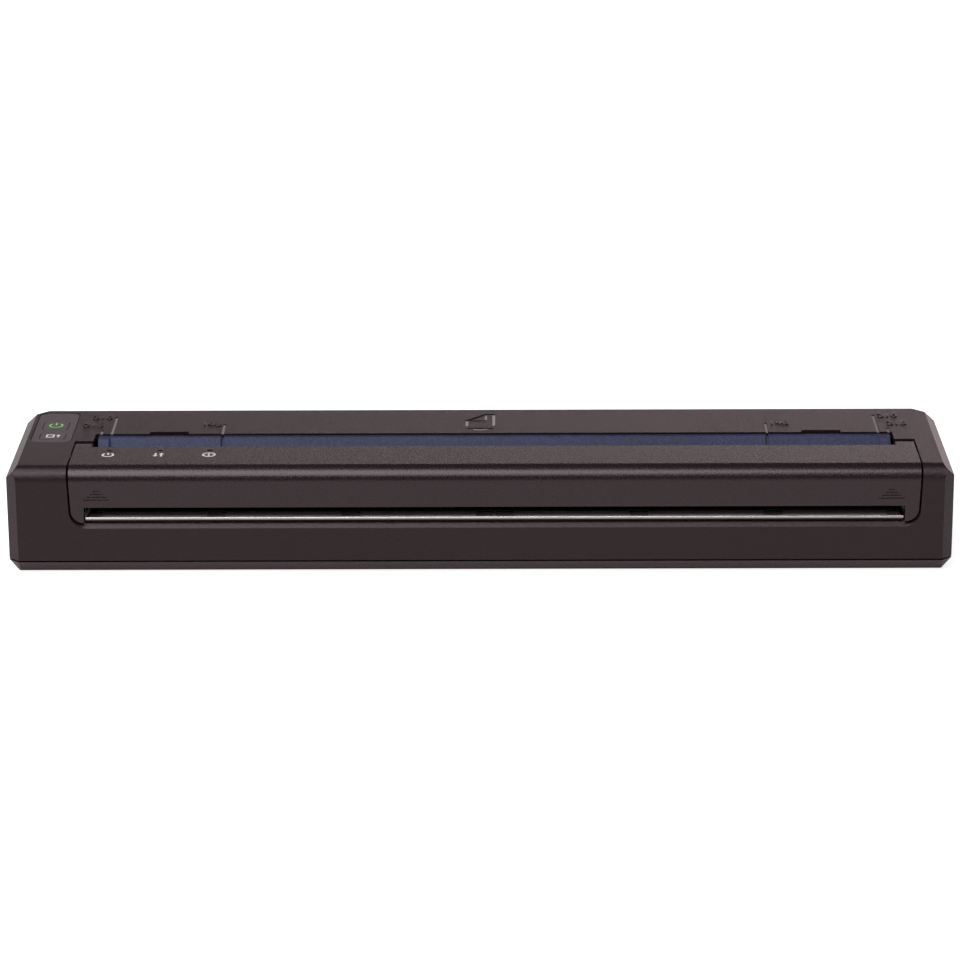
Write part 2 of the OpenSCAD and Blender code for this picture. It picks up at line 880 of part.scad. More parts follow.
module platen_bushes() {
  color([0.85, 0.83, 0.75]) {
    bush(roll_l - 2.5, roll_l - 2.5 + bracket_t, roll_l - 2.9);
    bush(roll_r + 0.5, roll_r + 0.5 + bracket_t, roll_r + 0.5 + bracket_t);
  }
}

module platen_clip() {
  color([0.6, 0.6, 0.62])
    ring(roll_l - 3.5, roll_l - 3.1, py, pz, journal_r + 1, journal_r);
}

module platen_gear() {
  color([0.9, 0.9, 0.86])
    gear(gear_x, gear_x + gear_w, py, pz, teeth_platen, th1, journal_r);
}

// ---- gear train ----

module idler_gear() {
  color([0.9, 0.9, 0.86])
    gear(gear_x, gear_x + gear_w, iy, iz, teeth_idler, a_idler, stud_r + run_clear);
}

module reduction_gear() {
  color([0.86, 0.86, 0.82]) {
    gear(gear_x, layer_x, ky, kz, teeth_small, a_small, stud_r + run_clear);
    gear(layer_x, layer_x + layer_w, ky, kz, teeth_large, motor_a, stud_r + run_clear);
  }
}

module motor_pinion() {
  color([0.8, 0.68, 0.4])
    gear(layer_x, layer_x + layer_w, my, mz, teeth_motor, a_motor, 1);
}

module motor_shaft() {
  color([0.75, 0.75, 0.77])
    rod(ch_r + 0.2, layer_x + layer_w + 0.5, my, mz, 1);
}

module gear_studs() {
  color([0.72, 0.72, 0.74]) {
    rod(ch_r, gear_x + gear_w + 0.1, iy, iz, stud_r);
    rod(gear_x + gear_w + 0.05, gear_x + gear_w + 0.35, iy, iz, stud_r + 0.5);
    rod(ch_r + steel_t, ch_r + steel_t + 0.8, iy, iz, stud_r + 0.7);
    rod(ch_r, layer_x + layer_w + 0.9, ky, kz, stud_r);
    rod(ch_r + steel_t, ch_r + steel_t + 0.8, ky, kz, stud_r + 0.7);
  }
}

module stud_clips() {
  color([0.6, 0.6, 0.62])
    ring(layer_x + layer_w + 0.2, layer_x + layer_w + 0.6, ky, kz, stud_r + 1, stud_r);
}

module stepper_motor() {
  color([0.7, 0.7, 0.72])
    difference() {
      union() {
        // can with a flat at the back, and its flange
        intersection() {
          union() {
            rod(ch_r - 0.8 - motor_l, ch_r - 0.8, my, mz, motor_r);
            yz(ch_r - 0.8, ch_r)
              pad(my, mz, 2 * motor_r + 1, motor_r, 1);
          }
          box(0, right, front, motor_flat, 0, top);
        }
        rod(ch_r - 0.5, ch_r + steel_t + 0.5, my, mz, 2.8);
        box(ch_r - 4 - motor_l / 2, ch_r + 1 - motor_l / 2, my - 5, my + 5,
          mz - motor_r - 0.6, mz - motor_r / 2);
      }
      rod(ch_r - 0.8, ch_r + 5, my, mz, 1.1);
    }
}

// ---- chassis ----

module right_plate_yz() {
  difference() {
    polygon([[ch_front, ch_z], [ch_front, plate_z], [ky - 2.4, plate_z],
      [ky + 0.6, kz + 6], [my - 6, top - 3.5], [motor_flat - 1.4, top - 3.5],
      [motor_flat + 0.6, mz + 4], [motor_flat + 0.6, mz - 6], [my + 4, mz - 9],
      [ky - 1, floor_z + 2.6], [ky - 4, ch_z]]);
    translate([my, mz])
      circle(r = 2.8);
    translate([pivot_y, pivot_z])
      circle(r = pivot_r + run_clear);
    translate([iy, iz])
      circle(r = stud_r);
    translate([ky, kz])
      circle(r = stud_r);
  }
}

module left_plate_yz() {
  difference() {
    translate([ch_front, ch_z])
      square([front + 25.6 - ch_front, plate_z - ch_z]);
    translate([pivot_y, pivot_z])
      circle(r = pivot_r + run_clear);
  }
}

module chassis() {
  color([0.72, 0.73, 0.74])
    difference() {
      union() {
        box(ch_l, ch_r + steel_t, ch_front, front + 23.2, ch_z, ch_z + steel_t);
        box(ch_l, ch_r + steel_t, ch_front, ch_front + steel_t, ch_z, plate_z);
        yz(ch_l, ch_l + steel_t)
          left_plate_yz();
        yz(ch_r, ch_r + steel_t)
          right_plate_yz();
      }
      for (p = LEGS)
        post(p[0], p[1], ch_z - 1, ch_z + 2, 0.9);
    }
}

module tear_bar() {
  color([0.82, 0.8, 0.77])
    yz(outlet_l + 0.3, outlet_r - 0.35)
      polygon([[front + 0.9, leg_z + 0.1], [ch_front + steel_t, leg_z + 0.1],
        [ch_front + steel_t, leg_z + 0.6], [front + 1.2, leg_z + 0.6],
        [front + 1.2, leg_z + 1.2], [front + 1, leg_z + 1.4], [front + 0.7, leg_z + 1.4],
        [front + 0.5, leg_z + 1.2], [front + 0.5, leg_z + 0.5], [front + 0.9, leg_z + 0.5]]);
}

module exit_guide() {
  z = leg_z + 1.3;
  color([0.14, 0.12, 0.13])
    difference() {
      yz(outlet_l + 1, outlet_r - 1)
        polygon([[front + 1.3, leg_z + 0.6], [front + 5.6, leg_z + 0.6], [front + 5.6, z],
          [front + 1.7, z], [front + 1.3, z - 0.4]]);
      // shallow recesses along the strip, the middle one in two
      for (x = [-75.1, -38.9, 38.9, 75.1])
        box(path_x + x - 2.5, path_x + x + 2.5, front, front + 6, z - 0.3, z + 1);
      for (x = [-5.1, 0.2])
        box(path_x + x, path_x + x + 4.9, front, front + 6, z - 0.3, z + 1);
      box(outlet_l, outlet_l + 4.6, front, front + 6, z - 0.3, z + 1);
      box(outlet_r - 4.6, outlet_r, front, front + 6, z - 0.3, z + 1);
    }
}

// ---- print head ----

module head_ceramic() {
  color([0.9, 0.88, 0.82])
    difference() {
      box(head_l, head_r, front + 6, front + 17, sink_z, ceramic_z);
      box(head_l - 1, head_r + 1, front + 5, front + 6.5, ceramic_z - 0.3, ceramic_z + 1);
    }
}

module head_drivers() {
  color([0.08, 0.08, 0.09])
    box(head_l + 4, head_r - 4, front + 14.2, front + 16.7, ceramic_z, ceramic_z + 0.5);
}

module head_heatsink() {
  color([0.68, 0.69, 0.71])
    union() {
      difference() {
        box(head_l, head_r, front + 5, front + 23, sink_z - sink_t, sink_z);
        // shallow channels of the extrusion
        for (k = [0 : 2])
          box(head_l - 1, head_r + 1, front + 15 + k * 2.4, front + 16.2 + k * 2.4,
            sink_z - sink_t - 1, sink_z - sink_t + 0.8);
      }
      rod(ch_l - 0.4, head_l + 2, pivot_y, pivot_z, pivot_r);
      rod(head_r - 2, ch_r + steel_t + 0.4, pivot_y, pivot_z, pivot_r);
    }
}

module head_spring() {
  color([0.76, 0.72, 0.6])
    for (x = [path_x - 72, path_x, path_x + 72])
      yz(x - 9, x + 9)
        polygon([[front + 18, ch_z + steel_t], [front + 18, ch_z + steel_t + 0.35],
          [front + 12.5, ch_z + steel_t + 0.45], [front + 10.6, sink_z - sink_t],
          [front + 9.6, sink_z - sink_t], [front + 11.9, ch_z + steel_t]]);
}

module head_cable() {
  color([0.72, 0.5, 0.25])
    yz(path_x - 22, path_x + 22)
      polygon([[front + 23, sink_z - 2], [front + 24.4, sink_z - 2],
        [front + 24.4, board_top + 1.2], [front + 24.1, board_top + 1.2],
        [front + 24.1, sink_z - 2.3], [front + 23, sink_z - 2.3]]);
}

// ---- paper guide ----

module guide_yz(s) {
  g = top - guide_down;
  polygon([[plate_y - 0.8, g], [lip_y + s, g], [lip_y - 4 + s, top - 4.9],
    [front + 18.9 + s / 2, top - 10.4], [front + 16.3, top - 12.4],
    [front + 16.3, top - 13.1], [front + 19.4, top - 12.2], [front + 25.4, top - 6.3],
    [front + 28.4, top - 3.4], [plate_y + 2.9, top - 3.4], [plate_y + 2.9, top - top_t],
    [plate_y - 0.8, top - top_t]]);
}

// groove for the edge of a short sheet, along the guide's face
module short_groove_yz() {
  s = lip_y + guide_step;
  polygon([[plate_y + 3, top], [s, top + 1], [s - 6, top - 4.9], [front + 18, top - 10.4],
    [front + 19.2, top - 10.9], [s - 3.65, top - 5.3], [s + 0.4, top - guide_down - 0.45],
    [plate_y + 3, top - guide_down - 0.45]]);
}

module paper_guide() {
  color([0.2, 0.2, 0.3])
    difference() {
      union() {
        yz(guide_l, guide_l + guide_end_w)
          guide_yz(0);
        yz(guide_l + guide_end_w, guide_r - guide_end_w)
          guide_yz(guide_step);
        yz(guide_r - guide_end_w, guide_r)
          guide_yz(0);
      }
      for (s = [-1, 1])
        yz(path_x + s * short_w / 2 - 0.4, path_x + s * short_w / 2 + 0.4)
          short_groove_yz();
    }
}

// ---- keys ----

module key_panel() {
  color([0.42, 0.39, 0.4])
    difference() {
      xy(panel_z, top - 0.1)
        pad(panel_x, panel_y, panel_w, panel_l, panel_r);
      xy(panel_z - 1, top + 1)
        pad(power_x, power_y, power_w + 2 * key_gap, power_l + 2 * key_gap, key_r + key_gap);
      xy(panel_z - 1, top + 1)
        pad(feed_x, feed_y, feed_w + 2 * key_gap, feed_l + 2 * key_gap, key_r + key_gap);
    }
}

module key(x, y, w, l) {
  xy(top - 2.6, top - 0.05)
    pad(x, y, w, l, key_r);
  xy(top - 2.9, top - 2.3)
    pad(x, y, w + 0.7, l + 0.7, key_r);
  post(x, y, top - 3.6, top - 2.5, 1.4);
}

module power_button() {
  color([0.4, 0.37, 0.38])
    key(power_x, power_y, power_w, power_l);
}

module feed_button() {
  color([0.4, 0.37, 0.38])
    key(feed_x, feed_y, feed_w, feed_l);
}

module key_board() {
  color([0.1, 0.35, 0.2])
    difference() {
      box(left + 4.8, cl - cover_gap - 1.6, panel_front + 0.1, rear - 2.1, key_board_z,
        switch_z);
      for (p = KEYS)
        post(p[0], p[1], key_board_z - 1, switch_z + 1, 0.7);
    }
}

module key_switches() {
  color([0.3, 0.3, 0.32])
    for (p = [[power_x, power_y], [feed_x, feed_y]]) {
      box(p[0] - 2.2, p[0] + 2.2, p[1] - 2.2, p[1] + 2.2, switch_z, switch_z + 2);
      post(p[0], p[1], switch_z + 1.5, top - 3.65 - key_travel, 1.2);
    }
}

module key_screws() {
  color([0.6, 0.6, 0.62])
    for (p = KEYS)
      screw(p[0], p[1], key_board_z, 1.3, 0.9, 0.7, 3.5, true);
}

// ---- boards and sockets ----

module board_plan() {
  difference() {
    union() {
      translate([left + 3.4, front + 3.4])
        square([cl + 5 - left - 3.4, body_d - 6.8]);
      translate([cl + 4, front + 3.4])
        square([cr - 20 - cl - 4, board_rear - front - 3.4]);
    }
    for (p = CASE)
      translate([p[0], p[1]])
        circle(r = 3.8);
    for (p = LEGS)
      translate([p[0], p[1]])
        circle(r = 2.6);
    for (p = BOARD)
      translate([p[0], p[1]])
        circle(r = 0.7);
  }
}

module main_board() {
  color([0.08, 0.33, 0.18])
    xy(board_z, board_top)
      board_plan();
}

module chip(x, y, w, l, h) {
  box(x - w / 2, x + w / 2, y - l / 2, y + l / 2, board_top, board_top + h);
}

module board_chips() {
  color([0.1, 0.1, 0.11]) {
    chip(cl + 60, front + 13, 14, 14, room * 0.34);
    chip(cl + 85, front + 13, 10, 8, room * 0.3);
    chip(path_x + 15, front + 12, 8, 6, room * 0.37);
    chip(cr - 69.5, front + 12, 12, 7, room * 0.32);
    chip(cl + 30, front + 14, 8, 8, room * 0.6);
    chip(left + 11, front + 16, 6, 5, room * 0.4);
    chip(cr - 44.5, front + 13, 5, 5, room * 0.54);
  }
}

module board_sockets() {
  color([0.88, 0.86, 0.78]) {
    box(path_x - 24, path_x + 24, front + 23.5, front + 25.3, board_top, board_top + 1.2);
    chip(cr - 30, board_rear - 3, 10, 4, 3);
    chip(left + 10, front + 30, 5, 7, 3);
    chip(cl + 2, rear - 22, 5, 5, 3);
  }
}

module dc_jack() {
  color([0.09, 0.09, 0.1])
    difference() {
      union() {
        box(jack_x - 4.5, jack_x + 4.5, rear - 13.7, rear - wall - 0.2, board_top,
          jack_z + 4.6);
        translate([jack_x, rear - 0.6, jack_z])
          rotate([90, 0, 0])
            cylinder(r = jack_r + 0.45, h = 3);
      }
      translate([jack_x, rear + 1, jack_z])
        rotate([90, 0, 0])
          cylinder(r = jack_r, h = 12);
    }
}

module dc_pin() {
  color([0.82, 0.8, 0.74])
    translate([jack_x, rear - 1.6, jack_z])
      rotate([90, 0, 0])
        cylinder(r = jack_pin_r, h = 9.4);
}

module usb_port() {
  color([0.75, 0.75, 0.76])
    difference() {
      union() {
        xz(rear - 9.5, rear - 0.7)
          polygon([[usb_x - 3.1, board_top + 0.6], [usb_x + 3.1, board_top + 0.6],
            [usb_x + 3.85, board_top + 2], [usb_x + 3.85, board_top + 4.5],
            [usb_x - 3.85, board_top + 4.5], [usb_x - 3.85, board_top + 2]]);
        for (s = [-1, 1])
          box(usb_x + s * 3 - 0.5, usb_x + s * 3 + 0.5, rear - 8, rear - 4, board_top,
            board_top + 1);
      }
      xz(rear - 9, rear)
        polygon([[usb_x - 2.8, board_top + 0.95], [usb_x + 2.8, board_top + 0.95],
          [usb_x + 3.5, board_top + 2.2], [usb_x + 3.5, board_top + 4.15],
          [usb_x - 3.5, board_top + 4.15], [usb_x - 3.5, board_top + 2.2]]);
    }
}

module usb_tongue() {
  color([0.1, 0.1, 0.1])
    box(usb_x - 2.4, usb_x + 2.4, rear - 9, rear - 2.2, board_top + 2.6, board_top + 3.3);
}

module board_screws() {
  color([0.6, 0.6, 0.62])
    for (p = BOARD)
      screw(p[0], p[1], board_top, 1.5, 1, 0.7, 1.5, false);
}

// ---- battery ----

module battery_pack() {
  color([0.16, 0.17, 0.2])
    yz(pack_x, pack_x + pack_l)
      pad(pack_y + pack_d / 2, pack_z + pack_d / 2, pack_d, pack_d, 5);
}

module battery_contacts() {
  color([0.83, 0.68, 0.35])
    for (k = [0 : 2])
      yz(pack_x - 1.2, pack_x)
        translate([pack_y + 3.5 + k * 4.6, pack_z + 4])
          square([2.2, 9]);
}

module battery_cover() {
  color([0.26, 0.23, 0.24])
    difference() {
      union() {
        box(door_l, door_r, rear - wall, rear, door_axis_z, door_z + door_h);
        rod(door_l, door_r, door_y, door_axis_z, door_rib_r);
        rod(door_l - 1.6, door_l + 1, door_y, door_axis_z, 0.55);
        rod(door_r - 1, door_r + 1.6, door_y, door_axis_z, 0.55);
      }
      box(door_mid - 9, door_mid + 9, rear - 0.7, rear + 1, door_z + door_h - 1.6,
        door_z + door_h + 1);
    }
}

// ---- fasteners ----

module case_screws() {
  color([0.3, 0.3, 0.32])
    for (p = CASE)
      screw(p[0], p[1], foot_proud + 1.7, 2, 1.4, case_screw_r, 8, true);
}

module chassis_screws() {
  color([0.7, 0.7, 0.72])
    for (p = LEGS)
      screw(p[0], p[1], ch_z + steel_t, 1.7, 1.1, 0.9, 4, false);
}

top_housing();
bottom_cover();
release_cover();
paper_guide();
key_panel();
power_button();
feed_button();
tear_bar();
exit_guide();
chassis();
head_ceramic();
head_drivers();
head_heatsink();
head_spring();
head_cable();
platen_shaft();
platen_rubber();
platen_bushes();
platen_clip();
platen_gear();
idler_gear();
reduction_gear();
gear_studs();
stud_clips();
motor_pinion();
motor_shaft();
stepper_motor();
hinge_pins();
light_pipe();
indicator_board();
indicator_leds();
key_board();
key_switches();
key_screws();
main_board();
board_chips();
board_sockets();
dc_jack();
dc_pin();
usb_port();
usb_tongue();
board_screws();
battery_pack();
battery_contacts();
battery_cover();
rubber_feet();
case_screws();
chassis_screws();
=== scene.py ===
import math
import bmesh
import bpy
from mathutils import Matrix, Vector


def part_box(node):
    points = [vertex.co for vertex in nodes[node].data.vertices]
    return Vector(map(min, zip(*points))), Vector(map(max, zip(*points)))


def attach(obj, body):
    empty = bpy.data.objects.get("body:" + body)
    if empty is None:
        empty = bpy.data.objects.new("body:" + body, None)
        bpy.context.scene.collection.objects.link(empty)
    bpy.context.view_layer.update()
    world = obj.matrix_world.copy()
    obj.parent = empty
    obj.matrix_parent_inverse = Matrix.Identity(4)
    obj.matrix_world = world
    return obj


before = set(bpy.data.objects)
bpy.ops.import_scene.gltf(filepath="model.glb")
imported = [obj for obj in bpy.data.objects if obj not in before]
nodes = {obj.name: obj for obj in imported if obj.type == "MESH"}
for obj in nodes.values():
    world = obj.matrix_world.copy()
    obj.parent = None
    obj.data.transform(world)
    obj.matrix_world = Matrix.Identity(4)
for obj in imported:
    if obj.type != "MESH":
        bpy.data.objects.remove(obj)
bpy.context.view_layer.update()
mm = 0.001
bevelSamples = 4  # of the shading that rounds edges
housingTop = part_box("top_housing")[1][2] / mm
print("frame loaded,", len(nodes), "nodes")

# camera, at the photograph's angle
photoCamera = {
    "focalPixels": 3715.84,  # of a frame 960 pixels wide
    "framePixels": 960,
    "sensor": 36,
    "tilt": 18.1307,  # degrees down
    "turn": -0.33,
    "roll": -0.2576,
    "aim": (-0.102, 0, 17.627),  # mm
    "away": 1025.25,  # mm
    "clip": (0.05, 30),  # m
}


def makeCamera(s):
    tilt, turn, roll = (math.radians(s[k]) for k in ("tilt", "turn", "roll"))
    ahead = Vector((math.sin(turn) * math.cos(tilt), math.cos(turn) * math.cos(tilt), -math.sin(tilt)))
    across = Vector((math.cos(turn), -math.sin(turn), 0))
    upward = across.cross(ahead)
    side = math.cos(roll) * across + math.sin(roll) * upward
    head = math.cos(roll) * upward - math.sin(roll) * across
    place = Vector(s["aim"]) * mm - ahead * s["away"] * mm
    data = bpy.data.cameras.new("photoCamera")
    data.sensor_width = s["sensor"]
    data.lens = s["focalPixels"] / s["framePixels"] * s["sensor"]
    data.clip_start, data.clip_end = s["clip"]
    camera = bpy.data.objects.new("photoCamera", data)
    turned = Matrix((side, head, -ahead)).transposed()
    camera.matrix_world = Matrix.Translation(place) @ turned.to_4x4()
    bpy.context.scene.collection.objects.link(camera)
    bpy.context.scene.camera = camera


makeCamera(photoCamera)
bpy.context.scene.view_settings.view_transform = "Standard"
print("camera set")


def linear(hexColour):
    parts = [int(hexColour[i:i + 2], 16) / 255 for i in (1, 3, 5)]
    return tuple(c / 12.92 if c <= 0.04045 else ((c + 0.055) / 1.055) ** 2.4 for c in parts)


def addNode(tree, kind, settings=None, links=None):
    node = tree.nodes.new(kind)
    for name, value in (settings or {}).items():
        if isinstance(name, str) and hasattr(node, name):
            setattr(node, name, value)
        else:
            node.inputs[name].default_value = value
    for name, socket in (links or {}).items():
        tree.links.new(socket, node.inputs[name])
    return node


def newMaterial(name):
    material = bpy.data.materials.new(name)
    material.use_nodes = True
    material.node_tree.nodes.clear()
    return material, material.node_tree


def twoColours(tree, share, dark, light, low=0.3, high=0.7):
    ramp = addNode(tree, "ShaderNodeValToRGB", links={"Fac": share})
    first, last = ramp.color_ramp.elements
    first.position, last.position = low, high
    first.color, last.color = (*linear(dark), 1), (*linear(light), 1)
    return ramp.outputs["Color"]


def finishMaterial(material, tree, shader):
    addNode(tree, "ShaderNodeOutputMaterial", links={"Surface": shader.outputs[0]})
    return material


# what a plastic has where its own values don't say otherwise
plasticShared = {
    "grainShare": 0.75,  # of the mottling, and the clouds have the rest
    "cloud": 40,  # mm
    "edge": 0.2,  # mm, the radius that catches the light on an edge
    "specular": 0.5,
    "tint": "#ffffff",
    "coat": 0.0,
    "coatRough": 0.24,
}


# moulded plastic: a spark grain that mottles the colour a little, breaks up the gloss and stands proud,
# and broad clouds where hands and dust have changed the sheen
def makePlastic(name, own):
    s = {**plasticShared, **own}
    material, tree = newMaterial(name)
    where = addNode(tree, "ShaderNodeTexCoord").outputs["Object"]
    grain = addNode(tree, "ShaderNodeTexNoise",
                    {"Scale": 1 / (s["grain"] * mm), "Detail": 3.0, "Roughness": 0.62}, {"Vector": where})
    cloud = addNode(tree, "ShaderNodeTexNoise",
                    {"Scale": 1 / (s["cloud"] * mm), "Detail": 2.0}, {"Vector": where})
    share = addNode(tree, "ShaderNodeMath", {"operation": "MULTIPLY", 1: s["grainShare"]},
                    {0: grain.outputs["Fac"]})
    share = addNode(tree, "ShaderNodeMath", {"operation": "MULTIPLY_ADD", 1: 1 - s["grainShare"]},
                    {0: cloud.outputs["Fac"], 2: share.outputs[0]})
    rough = addNode(tree, "ShaderNodeMapRange", {"To Min": s["rough"][0], "To Max": s["rough"][1]},
                    {"Value": share.outputs[0]})
    edge = addNode(tree, "ShaderNodeBevel", {"samples": bevelSamples, "Radius": s["edge"] * mm})
    bump = addNode(tree, "ShaderNodeBump", {"Strength": 1.0, "Distance": s["bump"] * mm},
                   {"Height": grain.outputs["Fac"], "Normal": edge.outputs[0]})
    shader = addNode(tree, "ShaderNodeBsdfPrincipled",
                     {"IOR": 1.5, "Specular IOR Level": s["specular"],
                      "Specular Tint": (*linear(s["tint"]), 1),
                      "Coat Weight": s["coat"], "Coat Roughness": s["coatRough"]},
                     {"Base Color": twoColours(tree, share.outputs[0], s["dark"], s["light"]),
                      "Roughness": rough.outputs[0], "Normal": bump.outputs[0]})
    return finishMaterial(material, tree, shader)


# ABS moulded against spark-eroded steel: fine matt grain, brownish black, that mirrors the light at a low
# angle
housingAbs = makePlastic("housingAbsSparkGrain", {
    "dark": "#1b1416", "light": "#2c2225", "rough": (0.24, 0.36), "grain": 0.5, "bump": 0.13,
    "specular": 0.35, "tint": "#ffe9ee"})
# the same ABS with a coarser grain, paler and redder than the housing
trayAbs = makePlastic("trayAbsSparkGrain", {
    "dark": "#20181b", "light": "#34292c", "rough": (0.28, 0.4), "grain": 0.6, "bump": 0.15,
    "specular": 0.34, "tint": "#ffe2e8"})
# the cover is the same ABS from a finer tool, so it's more even and shines a little more
coverAbs = makePlastic("coverAbsSatin", {
    "dark": "#1a1316", "light": "#2a2024", "rough": (0.22, 0.33), "grain": 0.5, "bump": 0.085,
    "specular": 0.33, "tint": "#ffe6ea", "coat": 0.38})
# blue-black ABS with a coarse grain, so that the sheet slides and specks of light show
guideAbs = makePlastic("guideAbsCoarseGrain", {
    "dark": "#1a1e33", "light": "#3e4368", "rough": (0.38, 0.56), "grain": 0.6, "bump": 0.16,
    "specular": 0.26, "edge": 0.5})
# grey ABS, nearly smooth: the pad that the keys stand in
panelAbs = makePlastic("panelAbsSmooth", {
    "dark": "#544a4e", "light": "#60565a", "rough": (0.36, 0.46), "grain": 0.5, "bump": 0.02,
    "specular": 0.4, "edge": 0.3})
# the keys are a touch paler than their pad, with softer edges
keyAbs = makePlastic("keyAbsSmooth", {
    "dark": "#574d51", "light": "#63595d", "rough": (0.36, 0.46), "grain": 0.5, "bump": 0.02,
    "specular": 0.4, "edge": 0.4})
# ABS inside the paper path, matt, and painted pale to stand for light reaching into the slot, so that the
# strip behind the tear bar shows
innerAbsPaintedPale = makePlastic("innerAbsMattPaintedLight", {
    "dark": "#968e91", "light": "#aaa2a5", "rough": (0.5, 0.62), "grain": 0.5, "bump": 0.02,
    "specular": 0.35})
# acetal: waxy, off-white, slightly shiny
acetal = makePlastic("acetalMoulded", {
    "dark": "#d2d0c6", "light": "#dedcd3", "rough": (0.3, 0.42), "grain": 0.6, "bump": 0.004,
    "edge": 0.08})
# undyed nylon: warmer and duller than the acetal
nylon = makePlastic("nylonConnector", {
    "dark": "#cbc6b4", "light": "#d8d3c3", "rough": (0.4, 0.5), "grain": 0.5, "bump": 0.006,
    "edge": 0.08})
# black nylon of the sockets: deep and dull
socketNylon = makePlastic("socketNylonBlack", {
    "dark": "#111112", "light": "#1b1b1c", "rough": (0.42, 0.55), "grain": 0.4, "bump": 0.01,
    "edge": 0.1})
# epoxy of the chips: black with a fine matt top
epoxy = makePlastic("chipEpoxyMatt", {
    "dark": "#131315", "light": "#1e1e21", "rough": (0.55, 0.7), "grain": 0.25, "bump": 0.008,
    "edge": 0.08})
# grey moulding of the key switches, even and dull
switchPlastic = makePlastic("switchPlasticGrey", {
    "dark": "#2c2c2f", "light": "#38383b", "rough": (0.45, 0.58), "grain": 0.3, "bump": 0.008,
    "edge": 0.08})
# PVC sleeve shrunk over the cells: satin, faintly wrinkled
sleevePvc = makePlastic("batterySleevePvc", {
    "dark": "#171a20", "light": "#20242c", "rough": (0.24, 0.36), "grain": 4.0, "bump": 0.05,
    "edge": 0.3})
# the lamps' diffusing epoxy: milky yellow and smooth
lampEpoxy = makePlastic("lampEpoxyDiffuse", {
    "dark": "#dcdac4", "light": "#eae8d6", "rough": (0.25, 0.35), "grain": 0.3, "bump": 0.004,
    "edge": 0.08})
# the film of the flat cable, amber with a glossy face
cableFilm = makePlastic("cablePolyimideFilm", {
    "dark": "#8a5a20", "light": "#a4702c", "rough": (0.18, 0.26), "grain": 1.5, "bump": 0.004,
    "edge": 0.05})
print("plastics made")


# what a metal has where its own values don't say otherwise
metalShared = {
    "edge": 0.1,  # mm
    # painted shade: the dark colour a metal turns to below a height, standing for shade at its foot
    "paintedShade": "#2a2624",
    "paintedShadeZ": (-2, -1),  # mm, from full painted shade to none: below the whole printer, so there's none
}


# metal: streaks along the way it was drawn, rolled or ground, and painted shade that darkens it below a
# given height
def makeMetal(name, own):
    s = {**metalShared, **own}
    material, tree = newMaterial(name)
    where = addNode(tree, "ShaderNodeTexCoord").outputs["Object"]
    stretched = addNode(tree, "ShaderNodeMapping", {"Scale": tuple(1 / (v * mm) for v in s["streak"])},
                        {"Vector": where})
    streak = addNode(tree, "ShaderNodeTexNoise", {"Scale": 1.0, "Detail": 4.0, "Roughness": 0.6},
                     {"Vector": stretched.outputs[0]})
    rough = addNode(tree, "ShaderNodeMapRange", {"To Min": s["rough"][0], "To Max": s["rough"][1]},
                    {"Value": streak.outputs["Fac"]})
    edge = addNode(tree, "ShaderNodeBevel", {"samples": bevelSamples, "Radius": s["edge"] * mm})
    bump = addNode(tree, "ShaderNodeBump", {"Strength": 1.0, "Distance": s["bump"] * mm},
                   {"Height": streak.outputs["Fac"], "Normal": edge.outputs[0]})
    height = addNode(tree, "ShaderNodeSeparateXYZ", links={"Vector": where})
    # painted shade: below this height the colour goes over to the painted shade colour
    low, high = s["paintedShadeZ"]
    unshaded = addNode(tree, "ShaderNodeMapRange", {"From Min": low * mm, "From Max": high * mm},
                    {"Value": height.outputs["Z"]})
    tone = addNode(tree, "ShaderNodeMix", {"data_type": "RGBA"})
    tone.inputs[6].default_value = (*linear(s["paintedShade"]), 1)
    tree.links.new(unshaded.outputs[0], tone.inputs[0])
    tree.links.new(twoColours(tree, streak.outputs["Fac"], s["dark"], s["light"]), tone.inputs[7])
    shader = addNode(tree, "ShaderNodeBsdfPrincipled", {"Metallic": 1.0},
                     {"Base Color": tone.outputs[2], "Roughness": rough.outputs[0],
                      "Normal": bump.outputs[0]})
    return finishMaterial(material, tree, shader)


# stainless strip, brushed along its length, with painted shade darkening its foot, where it sinks into the
# slot
tearSteel = makeMetal("tearBarStainlessBrushed", {
    "dark": "#bdb8b2", "light": "#d8d4ce", "rough": (0.2, 0.34), "streak": (12, 0.15, 0.15), "bump": 0.004,
    "edge": 0.5, "paintedShadeZ": (15.3, 15.85)})
# ground steel: fine rings round the shafts draw the mirrored light out along them
groundSteel = makeMetal("shaftSteelGround", {
    "dark": "#a9a9ac", "light": "#c4c4c7", "rough": (0.14, 0.26), "streak": (0.12, 3, 3), "bump": 0.002})
# cold-rolled spring steel, straw-coloured and satin
springSteel = makeMetal("springSteelRolled", {
    "dark": "#8a857a", "light": "#a49e91", "rough": (0.24, 0.38), "streak": (0.2, 6, 6), "bump": 0.003})
# aluminium extrusion: faint die lines along the bar
extrusion = makeMetal("heatSinkAluminiumExtruded", {
    "dark": "#a3a5a9", "light": "#bcbec2", "rough": (0.3, 0.44), "streak": (30, 0.25, 0.25), "bump": 0.006})
# brass with turning marks, warm beside the white gears
turnedBrass = makeMetal("pinionBrassTurned", {
    "dark": "#b08b47", "light": "#cda962", "rough": (0.2, 0.32), "streak": (0.12, 2, 2), "bump": 0.003})
# nickel plate: smooth and bright, with faint marks of the press
nickelPlate = makeMetal("shellNickelPlated", {
    "dark": "#b3b3b1", "light": "#cbcbc8", "rough": (0.16, 0.28), "streak": (1.5, 0.4, 0.4), "bump": 0.002})
# black oxide on steel: dark, with a soft sheen of metal
blackOxide = makeMetal("caseScrewBlackOxide", {
    "dark": "#2a2a2c", "light": "#3c3c3f", "rough": (0.3, 0.45), "streak": (0.4, 0.4, 0.4), "bump": 0.004})
# zinc on the small screws: even and bright, with no crystals that show
zincScrew = makeMetal("screwZincPlated", {
    "dark": "#a2a39f", "light": "#bdbeba", "rough": (0.22, 0.36), "streak": (0.5, 0.5, 0.5), "bump": 0.003})


